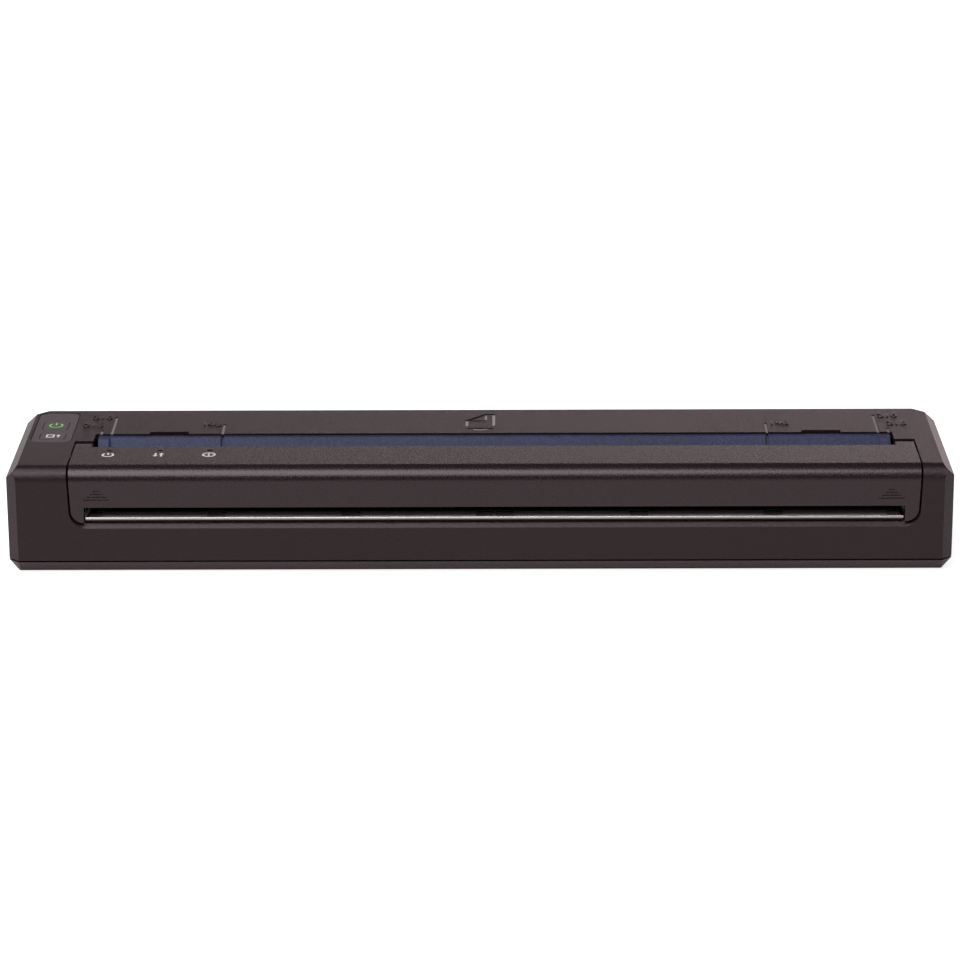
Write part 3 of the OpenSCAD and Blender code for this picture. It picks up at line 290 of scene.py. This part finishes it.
# zinc-coated sheet steel shows crystals: cells with a slightly different tone and gloss each
def makeZincPlate(name, s):
    material, tree = newMaterial(name)
    where = addNode(tree, "ShaderNodeTexCoord").outputs["Object"]
    crystal = addNode(tree, "ShaderNodeTexVoronoi", {"Scale": 1 / (s["crystal"] * mm)}, {"Vector": where})
    tone = addNode(tree, "ShaderNodeSeparateColor", links={"Color": crystal.outputs["Color"]})
    rough = addNode(tree, "ShaderNodeMapRange", {"To Min": s["rough"][0], "To Max": s["rough"][1]},
                    {"Value": tone.outputs[0]})
    edge = addNode(tree, "ShaderNodeBevel", {"samples": bevelSamples, "Radius": s["edge"] * mm})
    shader = addNode(tree, "ShaderNodeBsdfPrincipled", {"Metallic": 1.0},
                     {"Base Color": twoColours(tree, tone.outputs[0], s["dark"], s["light"], *s["spread"]),
                      "Roughness": rough.outputs[0], "Normal": edge.outputs[0]})
    return finishMaterial(material, tree, shader)


zincPlate = makeZincPlate("chassisZincPlated", {
    "dark": "#9a9c9e", "light": "#b4b6b8", "rough": (0.26, 0.42), "crystal": 2.2, "spread": (0.1, 0.9),
    "edge": 0.1})


# rubber: no gloss, and speckled by fine dust in the pores
def makeRubber(name, s):
    material, tree = newMaterial(name)
    where = addNode(tree, "ShaderNodeTexCoord").outputs["Object"]
    pores = addNode(tree, "ShaderNodeTexNoise",
                    {"Scale": 1 / (s["pore"] * mm), "Detail": 5.0}, {"Vector": where})
    bump = addNode(tree, "ShaderNodeBump", {"Strength": 1.0, "Distance": s["bump"] * mm},
                   {"Height": pores.outputs["Fac"]})
    shader = addNode(tree, "ShaderNodeBsdfPrincipled",
                     {"Roughness": s["rough"], "Specular IOR Level": s["specular"]},
                     {"Base Color": twoColours(tree, pores.outputs["Fac"], s["dark"], s["light"]),
                      "Normal": bump.outputs[0]})
    return finishMaterial(material, tree, shader)


# silicone ground round, so its pores are fine
rollerRubber = makeRubber("rollerSiliconeGround", {
    "dark": "#161617", "light": "#232324", "rough": 0.62, "specular": 0.3, "pore": 0.18, "bump": 0.008})
# moulded foot rubber, duller and coarser
footRubber = makeRubber("footRubberMoulded", {
    "dark": "#121212", "light": "#1c1c1c", "rough": 0.78, "specular": 0.3, "pore": 0.3, "bump": 0.015})


# alumina under a dark glaze that shines, with the row of heating dots drawn wider than its real 0.15 mm and
# the conductors beside it as broad faint bands, so that both show
def makeCeramic(name, s):
    material, tree = newMaterial(name)
    where = addNode(tree, "ShaderNodeTexCoord").outputs["Object"]
    parts = addNode(tree, "ShaderNodeSeparateXYZ", links={"Vector": where})
    away = addNode(tree, "ShaderNodeMath", {"operation": "SUBTRACT", 1: s["heaterY"] * mm},
                   {0: parts.outputs["Y"]})
    away = addNode(tree, "ShaderNodeMath", {"operation": "ABSOLUTE"}, {0: away.outputs[0]})
    line = addNode(tree, "ShaderNodeMath", {"operation": "LESS_THAN", 1: s["heaterWide"] / 2 * mm},
                   {0: away.outputs[0]})
    waves = 2 * math.pi / (s["bandPitch"] * mm) / 20  # a wave of scale 1 turns 20 radians in a metre
    bands = addNode(tree, "ShaderNodeTexWave", {"bands_direction": "X", "Scale": waves}, {"Vector": where})
    shade = twoColours(tree, bands.outputs["Fac"], s["dark"], s["light"])
    mixed = addNode(tree, "ShaderNodeMix", {"data_type": "RGBA"})
    mixed.inputs[7].default_value = (*linear(s["heater"]), 1)
    tree.links.new(line.outputs[0], mixed.inputs[0])
    tree.links.new(shade, mixed.inputs[6])
    shader = addNode(tree, "ShaderNodeBsdfPrincipled", {"Roughness": s["rough"]},
                     {"Base Color": mixed.outputs[2]})
    return finishMaterial(material, tree, shader)


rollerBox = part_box("platen_rubber")
headCeramic = makeCeramic("headAluminaGlazed", {
    "dark": "#3a3430", "light": "#3f3935", "heater": "#15110f", "heaterWide": 0.5, "bandPitch": 7.54,
    "rough": 0.16, "heaterY": (rollerBox[0][1] + rollerBox[1][1]) / 2 / mm})


# glass-epoxy board under green lacquer: copper shows through as paler lines
def makeBoard(name, s):
    material, tree = newMaterial(name)
    where = addNode(tree, "ShaderNodeTexCoord").outputs["Object"]
    runs = addNode(tree, "ShaderNodeTexBrick", {
        "Scale": 1 / (s["run"] * mm), "Mortar Size": s["copperWide"], "Brick Width": s["runLong"],
        "Row Height": s["runPitch"], "Color1": (0, 0, 0, 1), "Color2": (0, 0, 0, 1),
        "Mortar": (1, 1, 1, 1)}, {"Vector": where})
    weave = addNode(tree, "ShaderNodeTexNoise",
                    {"Scale": 1 / (s["weave"] * mm), "Detail": 2.0}, {"Vector": where})
    share = addNode(tree, "ShaderNodeMath", {"operation": "MULTIPLY_ADD", 1: s["copperPale"]},
                    {0: runs.outputs["Color"], 2: weave.outputs["Fac"]})
    bump = addNode(tree, "ShaderNodeBump", {"Strength": 1.0, "Distance": s["bump"] * mm},
                   {"Height": share.outputs[0]})
    shader = addNode(tree, "ShaderNodeBsdfPrincipled", {"Roughness": s["rough"]},
                     {"Base Color": twoColours(tree, share.outputs[0], s["dark"], s["light"], *s["spread"]),
                      "Normal": bump.outputs[0]})
    return finishMaterial(material, tree, shader)


# the runs of copper are coarser than real ones, so that they show: "run" is in mm, and the three after it
# are shares of it
greenBoard = makeBoard("boardGlassEpoxyGreen", {
    "dark": "#0b3a20", "light": "#2c6b41", "spread": (0.35, 1.0), "rough": 0.3, "weave": 0.6, "bump": 0.01,
    "run": 8, "runLong": 0.9, "runPitch": 0.22, "copperWide": 0.06, "copperPale": 0.55})


# smoked acrylic: the lamp only shows through it when lit
def makeSmoked(name, s):
    material, tree = newMaterial(name)
    where = addNode(tree, "ShaderNodeTexCoord").outputs["Object"]
    haze = addNode(tree, "ShaderNodeTexNoise", {"Scale": 1 / (s["haze"] * mm)}, {"Vector": where})
    rough = addNode(tree, "ShaderNodeMapRange", {"To Min": s["rough"][0], "To Max": s["rough"][1]},
                    {"Value": haze.outputs["Fac"]})
    shader = addNode(tree, "ShaderNodeBsdfPrincipled",
                     {"IOR": 1.49, "Transmission Weight": s["through"], "Specular IOR Level": s["specular"]},
                     {"Base Color": twoColours(tree, haze.outputs["Fac"], s["dark"], s["light"]),
                      "Roughness": rough.outputs[0]})
    return finishMaterial(material, tree, shader)


smokedAcrylic = makeSmoked("windowAcrylicSmoked", {
    "dark": "#08090a", "light": "#0e0f10", "rough": (0.1, 0.22), "haze": 0.8, "through": 0.3,
    "specular": 0.12})
print("metals, rubber, ceramic, boards and windows made")

finishOf = {
    "top_housing": housingAbs, "battery_cover": housingAbs, "bottom_cover": trayAbs,
    "release_cover": coverAbs, "paper_guide": guideAbs, "exit_guide": innerAbsPaintedPale,
    "key_panel": panelAbs, "power_button": keyAbs, "feed_button": keyAbs,
    "tear_bar": tearSteel, "chassis": zincPlate, "stepper_motor": zincPlate,
    "head_ceramic": headCeramic, "head_drivers": epoxy, "head_heatsink": extrusion,
    "head_spring": springSteel, "head_cable": cableFilm, "stud_clips": springSteel,
    "platen_shaft": groundSteel, "platen_rubber": rollerRubber, "platen_clip": springSteel,
    "platen_bushes": acetal, "platen_gear": acetal, "idler_gear": acetal, "reduction_gear": acetal,
    "gear_studs": groundSteel, "hinge_pins": groundSteel, "motor_shaft": groundSteel,
    "motor_pinion": turnedBrass, "battery_contacts": turnedBrass, "battery_pack": sleevePvc,
    "light_pipe": smokedAcrylic, "indicator_board": greenBoard, "indicator_leds": lampEpoxy,
    "key_board": greenBoard, "key_switches": switchPlastic,
    "main_board": greenBoard, "board_chips": epoxy, "board_sockets": nylon,
    "dc_jack": socketNylon, "dc_pin": nickelPlate, "usb_port": nickelPlate, "usb_tongue": socketNylon,
    "case_screws": blackOxide, "chassis_screws": zincScrew, "board_screws": zincScrew,
    "key_screws": zincScrew, "rubber_feet": footRubber,
}
for name, node in nodes.items():
    for slot in node.material_slots:
        slot.material = finishOf[name]
print("finishes given to", len(finishOf), "nodes")

# finishes of the printed and moulded marks, each a shallow form of its own on the face that carries it
# pad-printed ink: flat, dull and even
printWhite = makePlastic("padPrintWhite", {
    "dark": "#e2e0de", "light": "#f4f2f0", "rough": (0.45, 0.6), "grain": 0.3, "bump": 0.004,
    "edge": 0.02})
printGreen = makePlastic("padPrintGreen", {
    "dark": "#86c874", "light": "#9ade88", "rough": (0.45, 0.6), "grain": 0.3, "bump": 0.004,
    "edge": 0.02})
# the numbers are moulded by polished parts of the tool, so they shine where the plate is matt
markAbs = makePlastic("markAbsPolished", {
    "dark": "#2a2124", "light": "#382e32", "rough": (0.14, 0.22), "grain": 0.3, "bump": 0.006,
    "edge": 0.05, "specular": 0.9})
# the width lines are filled with a grey, smooth paint
linePaint = makePlastic("lineFillPaintGrey", {
    "dark": "#7e7376", "light": "#908588", "rough": (0.5, 0.65), "grain": 0.4, "bump": 0.006,
    "edge": 0.05})
# the sheet sign has a paler paint
signPaint = makePlastic("signFillPaintPale", {
    "dark": "#958f90", "light": "#a7a1a2", "rough": (0.5, 0.65), "grain": 0.4, "bump": 0.006,
    "edge": 0.02})
# painted shade: flat dark strokes that stand for the shadow inside narrow grooves, nearly black
paintedGrooveShade = makePlastic("grooveShadePainted", {
    "dark": "#0b0809", "light": "#141011", "rough": (0.6, 0.75), "grain": 0.4, "bump": 0.006,
    "edge": 0.02, "specular": 0.1})

arcStep = 12  # degrees of a round stroke in one facet
weldGap = 1e-5  # mm, and corners of a number that are nearer than this are joined


def addPiece(name, work, material, body):
    bmesh.ops.recalc_face_normals(work, faces=work.faces[:])
    mesh = bpy.data.meshes.new(name)
    work.to_mesh(mesh)
    work.free()
    mesh.materials.append(material)
    piece = bpy.data.objects.new(name, mesh)
    bpy.context.scene.collection.objects.link(piece)
    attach(piece, body)


def addBar(work, low, high, edge=0.0):
    size = Vector(high) - Vector(low)
    made = bmesh.ops.create_cube(work, size=1)["verts"]
    bmesh.ops.scale(work, vec=size * mm, verts=made)
    bmesh.ops.translate(work, vec=(Vector(high) + Vector(low)) / 2 * mm, verts=made)
    if edge:
        edges = list({e for v in made for e in v.link_edges})
        bmesh.ops.bevel(work, geom=edges, offset=edge * mm, offset_type="OFFSET", affect="EDGES",
                        segments=2, profile=0.5, material=-1)


def addArc(work, centre, radius, wide, base, proud, start, sweep):
    inner, outer = radius - wide / 2, radius + wide / 2
    turned = Matrix.Rotation(math.radians(start), 3, "Z")
    middle = Vector(centre)
    corners = [turned @ Vector((r, 0, 0)) + middle + Vector((0, 0, z))
               for r, z in ((inner, base), (outer, base), (outer, base + proud), (inner, base + proud))]
    face = work.faces.new([work.verts.new(corner * mm) for corner in corners])
    geom = [face, *face.edges, *face.verts]
    bmesh.ops.spin(work, geom=geom, cent=middle * mm, axis=(0, 0, 1), angle=math.radians(sweep),
                   steps=max(6, int(abs(sweep) / arcStep)), use_duplicate=False)


def addPlate(work, corners, base, proud, rim=0.0):
    face = work.faces.new([work.verts.new((x * mm, y * mm, base * mm)) for x, y in corners])
    face.normal_update()
    faces = [face]
    if rim:
        faces = bmesh.ops.inset_region(work, faces=[face], thickness=rim * mm, use_boundary=True,
                                       use_even_offset=True)["faces"]
        bmesh.ops.delete(work, geom=[face], context="FACES_ONLY")
    for f in faces:
        f.normal_update()
        if f.normal.z < 0:
            f.normal_flip()
    bmesh.ops.solidify(work, geom=faces, thickness=-proud * mm)


def addDigits(name, text, s, place, material, body):
    curve = bpy.data.curves.new(name, "FONT")
    curve.body = text
    curve.align_x, curve.align_y = "CENTER", "CENTER"
    curve.size, curve.extrude, curve.bevel_depth = s["size"], s["proud"] - s["edge"], s["edge"]
    curve.bevel_resolution, curve.resolution_u = s["edgeSteps"], s["curveSteps"]
    source = bpy.data.objects.new(name, curve)
    bpy.context.scene.collection.objects.link(source)
    bpy.context.view_layer.update()
    mesh = bpy.data.meshes.new_from_object(source.evaluated_get(bpy.context.evaluated_depsgraph_get()))
    bpy.data.objects.remove(source)
    bpy.data.curves.remove(curve)
    work = bmesh.new()
    work.from_mesh(mesh)
    bpy.data.meshes.remove(mesh)
    bmesh.ops.remove_doubles(work, verts=work.verts[:], dist=weldGap)
    bmesh.ops.scale(work, vec=(s["stretch"] * mm, mm, mm), verts=work.verts[:])
    bmesh.ops.translate(work, vec=Vector(place) * mm, verts=work.verts[:])
    addPiece(name, work, material, body)


# the paper widths, beside the lines on the plate behind the paper slot
widthMarks = {
    "pathX": 4.0,  # middle of the paper path
    "size": 4.4, "stretch": 0.86, "proud": 0.2, "edge": 0.09, "edgeSteps": 1, "curveSteps": 4,
    # the number, its line's x and back end, and its own x and y
    "lines": (("216", 108.6, 7.2, 111.5, 11.8), ("210", 105.7, 19.6, 109.6, 19.0),
              ("148", 75.1, 12.5, 78.8, 12.2)),
    "lineWide": 0.72, "lineFrom": 4.3, "lineDeep": 0.35, "lineFill": 0.2, "lineFree": 0.5, "lineEdge": 0.04,
}
middleX, half = widthMarks["pathX"], widthMarks["lineWide"] / 2
base = housingTop - widthMarks["lineDeep"]
for text, lineX, lineEnd, textX, textY in widthMarks["lines"]:
    for side, sideName in ((-1, "left"), (1, "right")):
        addDigits("widthNumber_" + text + "_" + sideName, text, widthMarks,
                  (middleX + side * textX, textY, housingTop), markAbs, "housing")
        work = bmesh.new()
        x = middleX + side * lineX
        addBar(work, (x - half, widthMarks["lineFrom"], base),
               (x + half, lineEnd - widthMarks["lineFree"], base + widthMarks["lineFill"]),
               widthMarks["lineEdge"])
        addPiece("widthLine_" + text + "_" + sideName, work, linePaint, "housing")

# the sheet with its folded corner behind the middle of the paper slot: the strokes from front to back and
# the arc are filled with pale paint, and those from side to side and the fold are painted shade, dark for
# the shadow in their grooves
sheetSign = {
    "proud": 0.05, "arcRadius": 2.9, "arcY": 9.5, "arcSweep": 80, "arcLine": 0.7,
    "painted": (((-4.1, 10.3), (-3.35, 14.6)), ((3.35, 10.6), (4.1, 20.1)), ((1.25, 15.9), (1.8, 19.9))),
    "shadePainted": (((-3.6, 8.05), (3.5, 8.55)), ((1.7, 21.1), (4.1, 21.6)), ((-2.8, 15.0), (1.4, 15.4))),
    "slope": ((-4.25, 15.35), (-3.85, 14.9), (1.9, 21.2), (1.5, 21.65)),
}
work = bmesh.new()
for low, high in sheetSign["painted"]:
    addBar(work, (*low, housingTop), (*high, housingTop + sheetSign["proud"]))
addArc(work, (0, sheetSign["arcY"], 0), sheetSign["arcRadius"], sheetSign["arcLine"], housingTop,
       sheetSign["proud"], 270 - sheetSign["arcSweep"] / 2, sheetSign["arcSweep"])
addPiece("sheetSignPaint", work, signPaint, "housing")
# painted shade: the strokes across and the fold are dark pieces standing for the shadow in their grooves
work = bmesh.new()
for low, high in sheetSign["shadePainted"]:
    addBar(work, (*low, housingTop), (*high, housingTop + sheetSign["proud"]))
addPlate(work, sheetSign["slope"], housingTop, sheetSign["proud"])
addPiece("sheetSignPaintedShade", work, paintedGrooveShade, "housing")


# a ring with a gap at the back, and a bar that stands in it
def addPowerSign(work, x, y, base, s):
    addArc(work, (x, y, 0), s["ring"], s["line"], base, s["proud"], s["ringFrom"], s["ringSweep"])
    addBar(work, (x - s["line"] / 2, y + s["barFrom"], base),
           (x + s["line"] / 2, y + s["barTo"], base + s["proud"]))


def keyTop(name):
    low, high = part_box(name)
    return (low[0] + high[0]) / 2 / mm, (low[1] + high[1]) / 2 / mm, high[2] / mm


# signs on the two keys: power, and a sheet with an arrow
keySigns = {
    "proud": 0.03, "line": 0.5,
    "ring": 1.75, "ringFrom": 125, "ringSweep": 290, "barFrom": 0.3, "barTo": 2.3,
    "sheet": ((-1.85, -1.3), (0.45, -1.3), (0.45, 1.3), (-1.85, 1.3)), "sheetLine": 0.45,
    "arrowHead": ((0.9, 0.3), (1.5, 1.3), (2.1, 0.3)), "arrowStem": ((1.3, -1.2), (1.7, 0.35)),
}
work = bmesh.new()
addPowerSign(work, *keyTop("power_button"), keySigns)
addPiece("powerSign", work, printGreen, "power_key")
x, y, base = keyTop("feed_button")
proud = keySigns["proud"]
work = bmesh.new()
addPlate(work, [(x + dx, y + dy) for dx, dy in keySigns["sheet"]], base, proud, keySigns["sheetLine"])
addPlate(work, [(x + dx, y + dy) for dx, dy in keySigns["arrowHead"]], base, proud)
(left, front), (right, back) = keySigns["arrowStem"]
addBar(work, (x + left, y + front, base), (x + right, y + back, base + proud))
addPiece("feedSign", work, printWhite, "feed_key")

# signs in front of the indicator windows: power, data to and fro, and a notice
lampSigns = {
    "firstX": -100.9, "pitch": 13.7, "y": -15.1, "proud": 0.03, "line": 0.55,
    "ring": 1.45, "ringFrom": 125, "ringSweep": 290, "barFrom": 0.2, "barTo": 1.8,
    "arrowX": 0.8, "arrowTip": 1.6, "arrowDeep": 1.1, "arrowHalf": 0.75, "stemTop": 1.05, "stemFoot": 1.5,
    "noticeRing": 1.6, "noticeSweep": 359.9, "noticeBars": ((-0.85, 0.2), (0.5, 0.92)),
}
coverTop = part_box("release_cover")[1][2] / mm
x, y, proud = lampSigns["firstX"], lampSigns["y"], lampSigns["proud"]
half = lampSigns["line"] / 2
work = bmesh.new()
addPowerSign(work, x, y, coverTop, lampSigns)
addPiece("lampSignPower", work, printWhite, "cover")
work = bmesh.new()
x += lampSigns["pitch"]
for side in (-1, 1):
    middle, tip = x + side * lampSigns["arrowX"], y + side * lampSigns["arrowTip"]
    foot = tip - side * lampSigns["arrowDeep"]
    addPlate(work, ((middle - lampSigns["arrowHalf"], foot), (middle + lampSigns["arrowHalf"], foot),
                    (middle, tip)), coverTop, proud)
    front, back = sorted((tip - side * lampSigns["stemTop"], y - side * lampSigns["stemFoot"]))
    addBar(work, (middle - half, front, coverTop), (middle + half, back, coverTop + proud))
addPiece("lampSignData", work, printWhite, "cover")
work = bmesh.new()
x += lampSigns["pitch"]
addArc(work, (x, y, 0), lampSigns["noticeRing"], lampSigns["line"], coverTop, proud, 0,
       lampSigns["noticeSweep"])
for front, back in lampSigns["noticeBars"]:
    addBar(work, (x - half, y + front, coverTop), (x + half, y + back, coverTop + proud))
addPiece("lampSignNotice", work, printWhite, "cover")
print("marks and signs made")

# floor, backdrop and light, in metres and watts
studio = {
    "floorSide": 9.0,
    "floor": {"colour": "#cfcfcf", "glow": 0.86, "mirrorGlow": 0.44, "mirrorLow": 0.44, "fadeFrom": -1,
              "fadeTo": 1, "mirrorColour": "#ffe8ea"},
    "backdropAway": 1.6,
    "backdropHigh": 0.46,
    "backdropWide": 4.0,
    # brighter to the right, as the light falls off to the left
    "backdrop": {"colour": "#c4c4c4", "glow": 1.0, "mirrorGlow": 1.4, "mirrorLow": 0.16, "fadeFrom": -0.7,
                 "fadeTo": 0.6, "mirrorColour": "#ffe4e7"},
    "dim": 0.04,  # of the world, for what lights and mirrors
    "softbox": {"power": 18, "size": (1.5, 0.9), "place": (-0.38, -0.48, 1.1), "aim": (0, 0, 0),
                "mirrored": True},
    # low in front, and kept out of reflections, so that it only lifts the slots
    "fill": {"power": 1.6, "size": (1.6, 0.3), "place": (0, -1.3, 0.22), "aim": (0, 0, 0.02),
             "mirrored": False},
}


def makeSheet(name, width, height, place, upright, material):
    mesh = bpy.data.meshes.new(name)
    work = bmesh.new()
    bmesh.ops.create_grid(work, x_segments=1, y_segments=1, size=0.5)
    bmesh.ops.scale(work, vec=(width, height, 1), verts=work.verts)
    if upright:
        bmesh.ops.rotate(work, matrix=Matrix.Rotation(math.radians(90), 3, "X"), verts=work.verts)
    bmesh.ops.translate(work, vec=place, verts=work.verts)
    work.to_mesh(mesh)
    work.free()
    mesh.materials.append(material)
    sheet = bpy.data.objects.new(name, mesh)
    bpy.context.scene.collection.objects.link(sheet)


# paper that is lit as paper, and glows to the camera and in reflections, so that it comes out white
def makePaper(name, s):
    material, tree = newMaterial(name)
    path = addNode(tree, "ShaderNodeLightPath")
    mirrored = addNode(tree, "ShaderNodeMath", {"operation": "MAXIMUM"},
                       {0: path.outputs["Is Glossy Ray"], 1: path.outputs["Is Transmission Ray"]})
    where = addNode(tree, "ShaderNodeTexCoord").outputs["Object"]
    across = addNode(tree, "ShaderNodeSeparateXYZ", links={"Vector": where})
    fade = addNode(tree, "ShaderNodeMapRange", {"From Min": s["fadeFrom"], "From Max": s["fadeTo"],
                                                "To Min": s["mirrorLow"], "To Max": s["mirrorGlow"]},
                   {"Value": across.outputs["X"]})
    mirrored = addNode(tree, "ShaderNodeMath", {"operation": "MULTIPLY"},
                       {0: mirrored.outputs[0], 1: fade.outputs[0]})
    lit = addNode(tree, "ShaderNodeBsdfDiffuse", {"Color": (*linear(s["colour"]), 1)})
    share = addNode(tree, "ShaderNodeMath", {"operation": "MULTIPLY_ADD", 1: s["glow"]},
                    {0: path.outputs["Is Camera Ray"], 2: mirrored.outputs[0]})
    shade = addNode(tree, "ShaderNodeMix", {"data_type": "RGBA"})
    shade.inputs[6].default_value = (*linear(s["mirrorColour"]), 1)
    shade.inputs[7].default_value = (1, 1, 1, 1)
    tree.links.new(path.outputs["Is Camera Ray"], shade.inputs[0])
    own = addNode(tree, "ShaderNodeEmission",
                  links={"Color": shade.outputs[2], "Strength": share.outputs[0]})
    both = addNode(tree, "ShaderNodeAddShader", links={0: lit.outputs[0], 1: own.outputs[0]})
    return finishMaterial(material, tree, both)


makeSheet("studioFloor", studio["floorSide"], studio["floorSide"], (0, 0, 0), False,
          makePaper("floorPaperMatt", studio["floor"]))
makeSheet("studioBackdrop", studio["backdropWide"], studio["backdropHigh"],
          (0, studio["backdropAway"], studio["backdropHigh"] / 2), True,
          makePaper("backdropPaperMatt", studio["backdrop"]))


def makeWorld(s):
    world = bpy.data.worlds.new("studioWorld")
    bpy.context.scene.world = world
    world.use_nodes = True
    tree = world.node_tree
    tree.nodes.clear()
    path = addNode(tree, "ShaderNodeLightPath")
    strength = addNode(tree, "ShaderNodeMapRange", {"To Min": s["dim"], "To Max": 1.0},
                       {"Value": path.outputs["Is Camera Ray"]})
    glow = addNode(tree, "ShaderNodeBackground", {"Color": (1, 1, 1, 1)}, {"Strength": strength.outputs[0]})
    addNode(tree, "ShaderNodeOutputWorld", links={"Surface": glow.outputs[0]})


makeWorld(studio)


def makeLamp(name, s):
    data = bpy.data.lights.new(name, "AREA")
    data.shape = "RECTANGLE"
    data.size, data.size_y = s["size"]
    data.energy = s["power"]
    lamp = bpy.data.objects.new(name, data)
    lamp.location = s["place"]
    lamp.rotation_mode = "QUATERNION"
    lamp.rotation_quaternion = (Vector(s["aim"]) - Vector(s["place"])).to_track_quat("-Z", "Y")
    lamp.visible_glossy = s["mirrored"]
    bpy.context.scene.collection.objects.link(lamp)


makeLamp("softboxAbove", studio["softbox"])
makeLamp("fillFront", studio["fill"])
print("studio set")
